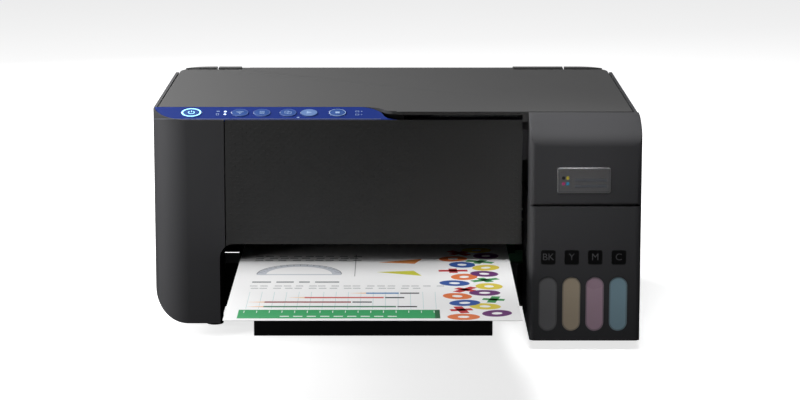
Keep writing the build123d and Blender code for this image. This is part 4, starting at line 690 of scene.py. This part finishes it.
class PRINTER_OT_strip(bpy.types.Operator):
    """The blue control strip, its keys, printed symbols and lights"""

    bl_idname = "printer.strip"
    bl_label = "Control strip"

    def execute(self, context):
        colours = context.scene.printer_colours
        mark = context.scene.printer_sizes.mark
        refined("control_panel", 0.25 * MM)
        pale = moulded("strip_print", colours.print_white, 0.4, 0.5, 900.0, 0.05, 0.0, 0.04)
        faint = moulded("strip_outline", rgb(72, 100, 175), 0.4, 0.5, 900.0, 0.05, 0.0, 0.05)
        # Pale blue-grey for a line along the strip's front edge: a painted highlight where light catches the lip.
        lip_highlight = coated("strip_lip_highlight", rgb(132, 138, 156), 0.25, 0.35, 0.3)
        light = glowing("power_light", colours.glow, 2.2)
        lamp = glowing("indicator_light", rgb(215, 235, 255), 2.6)
        start_blue = coated("start_face", rgb(112, 146, 205), 0.3, 0.4, 0.3)
        for key in KEYS:
            refined(key, 0.25 * MM)

        def key_marks(name, key, material, build, lift=0.0):
            bm = bmesh.new()
            build(bm, on_strip(key, lift))
            return add_piece(name, bm, material, key + "_key")

        proud = KEY_PROUD
        def power_ring(bm, place):
            ring(bm, place, 6.5 * MM, 7.6 * MM, proud - mark, proud + mark, steps=64)

        def power_symbol(bm, place):
            ring(bm, place, 2.1 * MM, 2.6 * MM, proud - mark, proud + mark, math.radians(125), math.radians(290))
            bar(bm, place, -0.25 * MM, 0.25 * MM, 0.6 * MM, 3.1 * MM, proud - mark, proud + mark)

        def thin_ring(bm, place):
            ring(bm, place, 6.0 * MM, 6.4 * MM, proud - mark, proud + mark, steps=56)

        def waves(bm, place):
            disc(bm, place @ Matrix.Translation((0, -2 * MM, 0)), 0.5 * MM, proud - mark, proud + mark)
            for radius in (1.6, 2.8, 4.0):
                ring(bm, place @ Matrix.Translation((0, -2 * MM, 0)), (radius - 0.2) * MM, (radius + 0.2) * MM,
                     proud - mark, proud + mark, math.radians(45), math.radians(90), 16)

        def page(bm, place):
            outline(bm, place, -1.7 * MM, 1.7 * MM, -2.4 * MM, 2.4 * MM, 0.35 * MM, proud - mark, proud + mark)
            for line in (-1.2, 0.0, 1.2):
                bar(bm, place, -1.0 * MM, 1.0 * MM, (line - 0.15) * MM, (line + 0.15) * MM, proud - mark, proud + mark)

        def two_pages(bm, place):
            outline(bm, place, -2.6 * MM, 0.8 * MM, -1.4 * MM, 2.8 * MM, 0.35 * MM, proud - mark, proud + mark)
            outline(bm, place, -0.8 * MM, 2.6 * MM, -2.8 * MM, 1.4 * MM, 0.35 * MM, proud - mark, proud + mark)

        def start_face(bm, place):
            disc(bm, place, 6.2 * MM, proud - mark, proud + mark / 2, 56)

        def start_symbol(bm, place):
            points = [(-1.8 * MM, -2.2 * MM), (2.4 * MM, 0), (-1.8 * MM, 2.2 * MM)]
            prism(bm, place, points, proud, proud + 1.5 * mark)

        def stop_symbol(bm, place):
            bar(bm, place, -1.6 * MM, 1.6 * MM, -1.6 * MM, 1.6 * MM, proud - mark, proud + mark)

        key_marks("power_ring", "power_button", light, power_ring)
        key_marks("power_symbol", "power_button", light, power_symbol)
        key_marks("wireless_ring", "wireless_button", faint, thin_ring)
        key_marks("wireless_symbol", "wireless_button", pale, waves)
        key_marks("status_ring", "status_button", faint, thin_ring)
        key_marks("status_symbol", "status_button", pale, page)
        key_marks("mono_copy_ring", "mono_copy_button", faint, thin_ring)
        key_marks("mono_copy_symbol", "mono_copy_button", pale, two_pages)
        key_marks("start_face", "start_button", start_blue, start_face)
        key_marks("start_symbol", "start_button", pale, start_symbol)
        key_marks("stop_ring", "stop_button", pale, thin_ring)
        key_marks("stop_symbol", "stop_button", pale, stop_symbol)

        middle = on_strip("power_button").translation
        row = (middle.y - STRIP_HIGH.y) / math.cos(STRIP_ANGLE)
        bm = bmesh.new()
        for shift in (-2.6, 2.6):
            spot = STRIP_PLACE @ Matrix.Translation((LAMP_X, row + shift * MM, 0))
            disc(bm, spot, 0.95 * MM, -mark, 2 * mark, 20)
        add_piece("indicator_lamps", bm, lamp, "scanner_unit")

        bm = bmesh.new()
        spot = STRIP_PLACE @ Matrix.Translation((LAMP_X - 5.7 * MM, row + 1.6 * MM, 0))
        for radius in (1.0, 1.9):
            ring(bm, spot, (radius - 0.2) * MM, (radius + 0.2) * MM, -mark, mark, math.radians(45), math.radians(90), 12)
        spot = STRIP_PLACE @ Matrix.Translation((LAMP_X - 5.7 * MM, row - 2.6 * MM, 0))
        outline(bm, spot, -1.1 * MM, 1.1 * MM, -1.4 * MM, 1.4 * MM, 0.3 * MM, -mark, mark)
        for shift in (-3.0, 3.0):
            spot = STRIP_PLACE @ Matrix.Translation((WARNING_X, row + shift * MM, 0))
            outline(bm, spot, -1.4 * MM, 1.4 * MM, -1.2 * MM, 1.2 * MM, 0.3 * MM, -mark, mark)
            disc(bm, spot @ Matrix.Translation((3.4 * MM, 0, 0)), 0.5 * MM, -mark, mark, 16)
        spot = STRIP_PLACE @ Matrix.Translation((DIAMOND_X, row - 8.4 * MM, 0))
        prism(bm, spot, [(-1.3 * MM, 0), (0, -1.0 * MM), (1.3 * MM, 0), (0, 1.0 * MM)], -mark, mark)
        add_piece("strip_symbols", bm, pale, "scanner_unit")

        # A pale bar along the strip's front lower edge: the painted highlight of light caught on the lip.
        slope_length = (STRIP_HIGH.y - STRIP_LOW.y) / math.cos(STRIP_ANGLE)
        bm = bmesh.new()
        bar(bm, STRIP_PLACE, STRIP_LOW.x + 1.2 * MM, STRIP_HIGH.x - 12 * MM, -slope_length + 0.5 * MM,
            -slope_length + 1.1 * MM, -mark, mark)
        add_piece("strip_lip_highlight", bm, lip_highlight, "scanner_unit")
        return {"FINISHED"}


class PRINTER_OT_ink(bpy.types.Operator):
    """Ink levels, window rims, colour labels and their letters"""

    bl_idname = "printer.ink"
    bl_label = "Ink tanks"

    def execute(self, context):
        sizes = context.scene.printer_sizes
        low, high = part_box("ink_tanks")
        upright = Matrix.Rotation(math.pi / 2, 4, "X")
        tile_black = moulded("label_black", rgb(14, 14, 15), 0.3, 0.4, 900.0, 0.1, 0.0, 0.08)
        print_grey = moulded("label_print", rgb(84, 84, 86), 0.4, 0.5, 900.0, 0.1, 0.0, 0.05)
        for name, tone, text in INKS:
            x = middle_x("tank_cap_" + name)
            tint = coated("ink_" + name, tone, 0.22, 0.34, 0.3, 0.14)
            rim = coated("rim_" + name, tuple(0.6 * c + 0.06 for c in tone[:3]) + (1.0,), 0.2, 0.3, 0.5, 0.1)
            face = Matrix.Translation((x, low.y, (WINDOW_BASE + WINDOW_TOP) / 2)) @ upright
            straight = (WINDOW_TOP - WINDOW_BASE) / 2 - WINDOW_HALF
            bm = bmesh.new()
            capsule(bm, face, WINDOW_HALF - 1.15 * MM, straight, 0.0, 0.12 * MM)
            add_piece("ink_level_" + name, bm, tint, "casing")
            bm = bmesh.new()
            rim_loop(bm, face, WINDOW_HALF - 1.1 * MM, WINDOW_HALF - 0.2 * MM, straight, 0.0, 0.3 * MM)
            add_piece("window_rim_" + name, bm, rim, "casing")
            tile = Matrix.Translation((x, TANK_LOW.y, sizes.tile_height)) @ upright
            half = sizes.tile / 2
            bm = bmesh.new()
            bar(bm, tile, -half, half, -half, half, -0.1 * MM, 0.12 * MM)
            uprights = [edge for edge in bm.edges if abs(edge.verts[0].co.y - edge.verts[1].co.y) > 0.1 * MM]
            bmesh.ops.bevel(bm, geom=uprights, offset=1.4 * MM, offset_type="OFFSET", segments=5, profile=0.5,
                            affect="EDGES", material=-1)
            add_piece("label_" + name, bm, tile_black, "casing")
            bm = bmesh.new()
            letters(bm, tile @ Matrix.Translation((0, 0, 0.13 * MM)), text, 7.5 * MM, 0.05 * MM)
            add_piece("label_letters_" + name, bm, print_grey, "casing")
        return {"FINISHED"}


class PRINTER_OT_badge(bpy.types.Operator):
    """The silver badge plate with four plain drops of colour"""

    bl_idname = "printer.badge"
    bl_label = "Badge"

    def execute(self, context):
        refined("tank_badge", 0.2 * MM)
        upright = Matrix.Rotation(math.pi / 2, 4, "X")
        grey = coated("badge_print", rgb(92, 94, 100), 0.35, 0.45, 0.2)
        middle = (BADGE_LOW + BADGE_HIGH) / 2
        bm = bmesh.new()
        for step in range(2):
            height = middle.z + (0.4 - 4.6 * step) * MM
            spot = Matrix.Translation((middle.x + 4.2 * MM, BADGE_LOW.y, height)) @ upright
            bar(bm, spot, -11 * MM, 13 * MM, -1.1 * MM, 1.1 * MM, -0.05 * MM, 0.06 * MM)
        outline_spot = Matrix.Translation((middle.x, BADGE_LOW.y, middle.z)) @ upright
        half_w, half_h = (BADGE_HIGH.x - BADGE_LOW.x) / 2 - 1.2 * MM, (BADGE_HIGH.z - BADGE_LOW.z) / 2 - 1.2 * MM
        outline(bm, outline_spot, -half_w, half_w, -half_h, half_h, 0.25 * MM, -0.05 * MM, 0.05 * MM)
        add_piece("badge_bars", bm, grey, "ink_cover")
        for index, (name, tone, text) in enumerate(INKS):
            bm = bmesh.new()
            x = BADGE_LOW.x + (4.6 + 3.1 * (index % 2)) * MM
            z = middle.z + (4.4 - 4.4 * (index // 2) - 2.4) * MM
            spot = Matrix.Translation((x, BADGE_LOW.y, z)) @ upright
            disc(bm, spot, 1.3 * MM, -0.05 * MM, 0.07 * MM, 24)
            drop = coated("badge_" + name, DROPS[index], 0.3, 0.4, 0.3)
            add_piece("badge_drop_" + name, bm, drop, "ink_cover")
        return {"FINISHED"}


class PRINTER_OT_sheet(bpy.types.Operator):
    """A plain worksheet printed on the paper in the tray"""

    bl_idname = "printer.sheet"
    bl_label = "Printed sheet"

    def execute(self, context):
        thick = 0.03 * MM
        # X from the sheet's left edge and Y from its front edge, in millimetres
        page = Matrix.Translation((SHEET_LOW.x, SHEET_LOW.y, SHEET_HIGH.z)) @ Matrix.Scale(MM, 4)

        def printed(name, tone, build):
            bm = bmesh.new()
            build(bm)
            bmesh.ops.transform(bm, matrix=page, verts=bm.verts)
            ink = moulded("print_" + name, tone, 0.55, 0.7, 2000.0, 0.1, 0.0, 0.06)
            return add_piece("print_" + name, bm, ink, "sheet")

        flat = Matrix.Identity(4)
        high = thick / MM

        def box(bm, x0, x1, y0, y1, level=1.0):
            bar(bm, flat, x0, x1, y0, y1, 0.0, high * level)

        def ruler(bm):
            box(bm, RULER_X, RULER_X + RULER_LONG, RULER_Y, RULER_Y + RULER_WIDE)

        def ruler_marks(bm):
            for step in range(16):
                x = RULER_X + 4 + step * (RULER_LONG - 8) / 15
                box(bm, x - 0.3, x + 0.3, RULER_Y + RULER_WIDE - 10, RULER_Y + RULER_WIDE - 3, 1.6)
            for step in range(9):
                x = RULER_X + 30 + step * 9.5
                box(bm, x, x + 6.5, RULER_Y + 5, RULER_Y + 8, 1.6)

        def ruler_end(bm):
            x = RULER_X + RULER_LONG
            box(bm, x - 3.5, x, RULER_Y, RULER_Y + RULER_WIDE, 1.6)

        def grid(bm):
            for step in range(16):
                x = GRID_X + step * GRID_LONG / 15
                box(bm, x, x + 0.35, GRID_Y, GRID_Y + GRID_WIDE, 0.5)

        def pencils(bm, wanted):
            for index, (tone, left, length) in enumerate(PENCILS):
                if tone == wanted:
                    y = PENCIL_Y + index * PENCIL_GAP
                    box(bm, left, left + length, y - 2.2, y + 2.2)

        def pencil_leads(bm):
            for index, (tone, left, length) in enumerate(PENCILS):
                y = PENCIL_Y + index * PENCIL_GAP
                box(bm, left + length + 1, left + length + 15, y - 1.9, y + 1.9)

        def pencil_tips(bm):
            for index, (tone, left, length) in enumerate(PENCILS):
                y = PENCIL_Y + index * PENCIL_GAP
                prism(bm, flat, [(left - 12, y), (left, y - 2.2), (left, y + 2.2)], 0.0, high)

        def words(bm):
            for index, (left, length, width) in enumerate(TITLE):
                box(bm, left, left + length, TITLE_Y, TITLE_Y + width)
            for line in range(3):
                for word in range(9):
                    left = 12 + word * 9.4 + 1.7 * math.sin(5 * word + 3 * line)
                    box(bm, left, left + 6.2, TOP_Y + line * 7.5, TOP_Y + 2.4 + line * 7.5)
            for line in range(2):
                for word in range(17):
                    left = 13 + word * 8.6 + 1.2 * math.sin(4 * word + line)
                    if line == 0 or word < 15:
                        box(bm, left, left + 5.6, NOTE_Y - line * 8, NOTE_Y + 1.6 - line * 8)

        def protractor(bm):
            squeeze = Matrix.Translation((ARC_X, ARC_Y, 0)) @ Matrix.Diagonal((1, 1.15, 1, 1))
            ring(bm, squeeze, ARC_R - 7, ARC_R, 0.0, high, 0.0, math.pi, 36)
            box(bm, ARC_X - ARC_R, ARC_X + ARC_R, ARC_Y - 3, ARC_Y)

        def protractor_marks(bm):
            squeeze = Matrix.Translation((ARC_X, ARC_Y, 0)) @ Matrix.Diagonal((1, 1.15, 1, 1))
            for step in range(1, 18):
                turned = squeeze @ Matrix.Rotation(math.radians(10 * step), 4, "Z")
                bar(bm, turned, ARC_R - 4, ARC_R - 0.6, -0.25, 0.25, 0.0, 1.6 * high)
            ring(bm, squeeze, ARC_R - 0.2, ARC_R + 0.4, 0.0, 1.4 * high, 0.0, math.pi, 36)

        def divider(bm):
            box(bm, DIVIDER_X, DIVIDER_X + 0.6, ARC_Y - 8, ARC_Y + 75)

        def triangle(bm, x, y, flip):
            points = [(x - 30, y), (x + 4, y + 14 * flip), (x - 2, y - 5 * flip)]
            prism(bm, flat, points, 0.0, high)

        printed("green_ruler", rgb(38, 158, 92), ruler)
        printed("ruler_marks", rgb(225, 240, 230), ruler_marks)
        printed("ruler_end", rgb(16, 92, 52), ruler_end)
        printed("grid", rgb(196, 218, 218), grid)
        printed("pencil_green", rgb(72, 128, 96), lambda bm: pencils(bm, "green"))
        printed("pencil_maroon", rgb(150, 62, 62), lambda bm: pencils(bm, "maroon"))
        printed("pencil_red", rgb(206, 96, 88), lambda bm: pencils(bm, "red"))
        printed("pencil_blue", rgb(84, 138, 186), lambda bm: pencils(bm, "blue"))
        printed("pencil_leads", rgb(52, 52, 56), pencil_leads)
        printed("pencil_tips", rgb(244, 206, 176), pencil_tips)
        printed("words", rgb(120, 124, 128), words)
        printed("protractor", rgb(196, 200, 208), protractor)
        printed("protractor_marks", rgb(96, 98, 104), protractor_marks)
        printed("divider", rgb(150, 150, 152), divider)
        printed("orange_square", rgb(214, 132, 66), lambda bm: triangle(bm, 138, 205, 1))
        printed("lime_square", rgb(206, 206, 62), lambda bm: triangle(bm, 137, 168, -1))
        for index, (name, tone) in enumerate(BEADS):
            def beads(bm, index=index):
                count = len(BEADS)
                for step in range(index, BEAD_COUNT, count):
                    y = 12 + step * BEAD_GAP
                    x = BEAD_X + (11 if step % 2 else -9) + 4 * math.sin(1.7 * step)
                    spot = Matrix.Translation((x, y, 0)) @ Matrix.Rotation(0.9 * step, 4, "Z")
                    level = (1 + 0.3 * (step % 3)) * high
                    if step % 3 == 2:
                        bar(bm, spot, -11, 11, -3.2, 3.2, 0.0, level)
                        bar(bm, spot, -3.2, 3.2, -8, 8, 0.0, level)
                    else:
                        ring(bm, spot @ Matrix.Diagonal((1.15, 1, 1, 1)), 3.6, 10.0, 0.0, level, steps=28)
            printed("bead_" + name, tone, beads)
        return {"FINISHED"}


class PRINTER_OT_inner(bpy.types.Operator):
    """The finish of every part that keeps its own mesh"""

    bl_idname = "printer.inner"
    bl_label = "Inner parts"

    def execute(self, context):
        for name, node in frame["nodes"].items():
            if not node.hide_render:
                node.data.materials.clear()
                node.data.materials.append(finish(SLOTS[name]))
        return {"FINISHED"}


class PRINTER_OT_stage(bpy.types.Operator):
    """The floor, the soft lights and the camera"""

    bl_idname = "printer.stage"
    bl_label = "Stage"

    def execute(self, context):
        scene = context.scene
        bm = bmesh.new()
        bmesh.ops.create_grid(bm, x_segments=1, y_segments=1, size=6.0, matrix=Matrix.Translation((0, 0, -0.0003)))
        mesh = bpy.data.meshes.new("floor")
        bm.to_mesh(mesh)
        bm.free()
        floor = bpy.data.objects.new("floor", mesh)
        scene.collection.objects.link(floor)
        mesh.materials.append(floor_white())

        def softbox(name, place, aim, width, height, power, spread=180):
            light = bpy.data.lights.new(name, "AREA")
            light.shape = "RECTANGLE"
            light.size, light.size_y = width, height
            light.energy = power
            light.spread = math.radians(spread)
            lamp = bpy.data.objects.new(name, light)
            scene.collection.objects.link(lamp)
            lamp.visible_camera = False
            lamp.location = place
            lamp.rotation_euler = (Vector(aim) - Vector(place)).to_track_quat("-Z", "Y").to_euler()

        softbox("overhead", (-0.35, 0.15, 1.7), (0, 0.05, 0.1), 1.3, 0.9, 20)
        softbox("left_side", (-1.2, 0.05, 0.35), (-0.18, -0.04, 0.1), 0.4, 0.8, 8)
        softbox("cheek_glow", (-0.36, -0.24, 0.2), (-0.17, -0.05, 0.12), 0.1, 0.3, 0.5)
        softbox("cover_glow", (0.14, -0.42, 0.62), (0.14, -0.1, 0.14), 0.12, 0.1, 0.05, 24)
        softbox("behind_left", (-0.72, 1.2, 0.85), (-0.2, -0.12, 0.17), 0.4, 0.3, 12)

        world = bpy.data.worlds.new("studio")
        world.use_nodes = True
        tree = world.node_tree
        path = tree.nodes.new("ShaderNodeLightPath")
        tone = tree.nodes.new("ShaderNodeMix")
        tone.data_type = "RGBA"
        tone.inputs["A"].default_value = (0.02, 0.02, 0.022, 1)
        tone.inputs["B"].default_value = (0.95, 0.95, 0.95, 1)
        tree.links.new(path.outputs["Is Camera Ray"], tone.inputs["Factor"])
        tree.links.new(tone.outputs["Result"], tree.nodes["Background"].inputs["Color"])
        scene.world = world
        scene.view_settings.view_transform = "Standard"

        camera_data = bpy.data.cameras.new("camera")
        camera_data.lens = 118.44
        camera_data.sensor_width = 36
        camera_data.shift_x = 0.0075
        camera_data.clip_end = 50
        camera = bpy.data.objects.new("camera", camera_data)
        scene.collection.objects.link(camera)
        camera.location = (0, -2.052, 0.465)
        camera.rotation_euler = (math.radians(79.92), 0, 0)
        scene.camera = camera
        return {"FINISHED"}


OPERATORS = (
    PRINTER_OT_casing,
    PRINTER_OT_lid,
    PRINTER_OT_front_panel,
    PRINTER_OT_strip,
    PRINTER_OT_ink,
    PRINTER_OT_badge,
    PRINTER_OT_sheet,
    PRINTER_OT_inner,
    PRINTER_OT_stage,
)


class PRINTER_PT_panel(bpy.types.Panel):
    """The printer's settings and the order its pieces are made in"""

    bl_idname = "PRINTER_PT_panel"
    bl_label = "Ink tank printer"
    bl_space_type = "VIEW_3D"
    bl_region_type = "UI"
    bl_category = "Printer"

    def draw(self, context):
        column = self.layout.column()
        for group in (context.scene.printer_colours, context.scene.printer_sizes):
            for name in group.bl_rna.properties.keys():
                if name not in ("rna_type", "name"):
                    column.prop(group, name)
        for operator in OPERATORS:
            column.operator(operator.bl_idname)


CLASSES = (PRINTER_PG_colours, PRINTER_PG_sizes, *OPERATORS, PRINTER_PT_panel)


def register():
    for item in CLASSES:
        bpy.utils.register_class(item)
    bpy.types.Scene.printer_colours = bpy.props.PointerProperty(type=PRINTER_PG_colours)
    bpy.types.Scene.printer_sizes = bpy.props.PointerProperty(type=PRINTER_PG_sizes)


def unregister():
    del bpy.types.Scene.printer_sizes
    del bpy.types.Scene.printer_colours
    for item in reversed(CLASSES):
        bpy.utils.unregister_class(item)


def main():
    register()
    for step in (
        bpy.ops.printer.casing,
        bpy.ops.printer.lid,
        bpy.ops.printer.front_panel,
        bpy.ops.printer.strip,
        bpy.ops.printer.ink,
        bpy.ops.printer.badge,
        bpy.ops.printer.sheet,
        bpy.ops.printer.inner,
        bpy.ops.printer.stage,
    ):
        step()


if __name__ == "__main__":
    main()
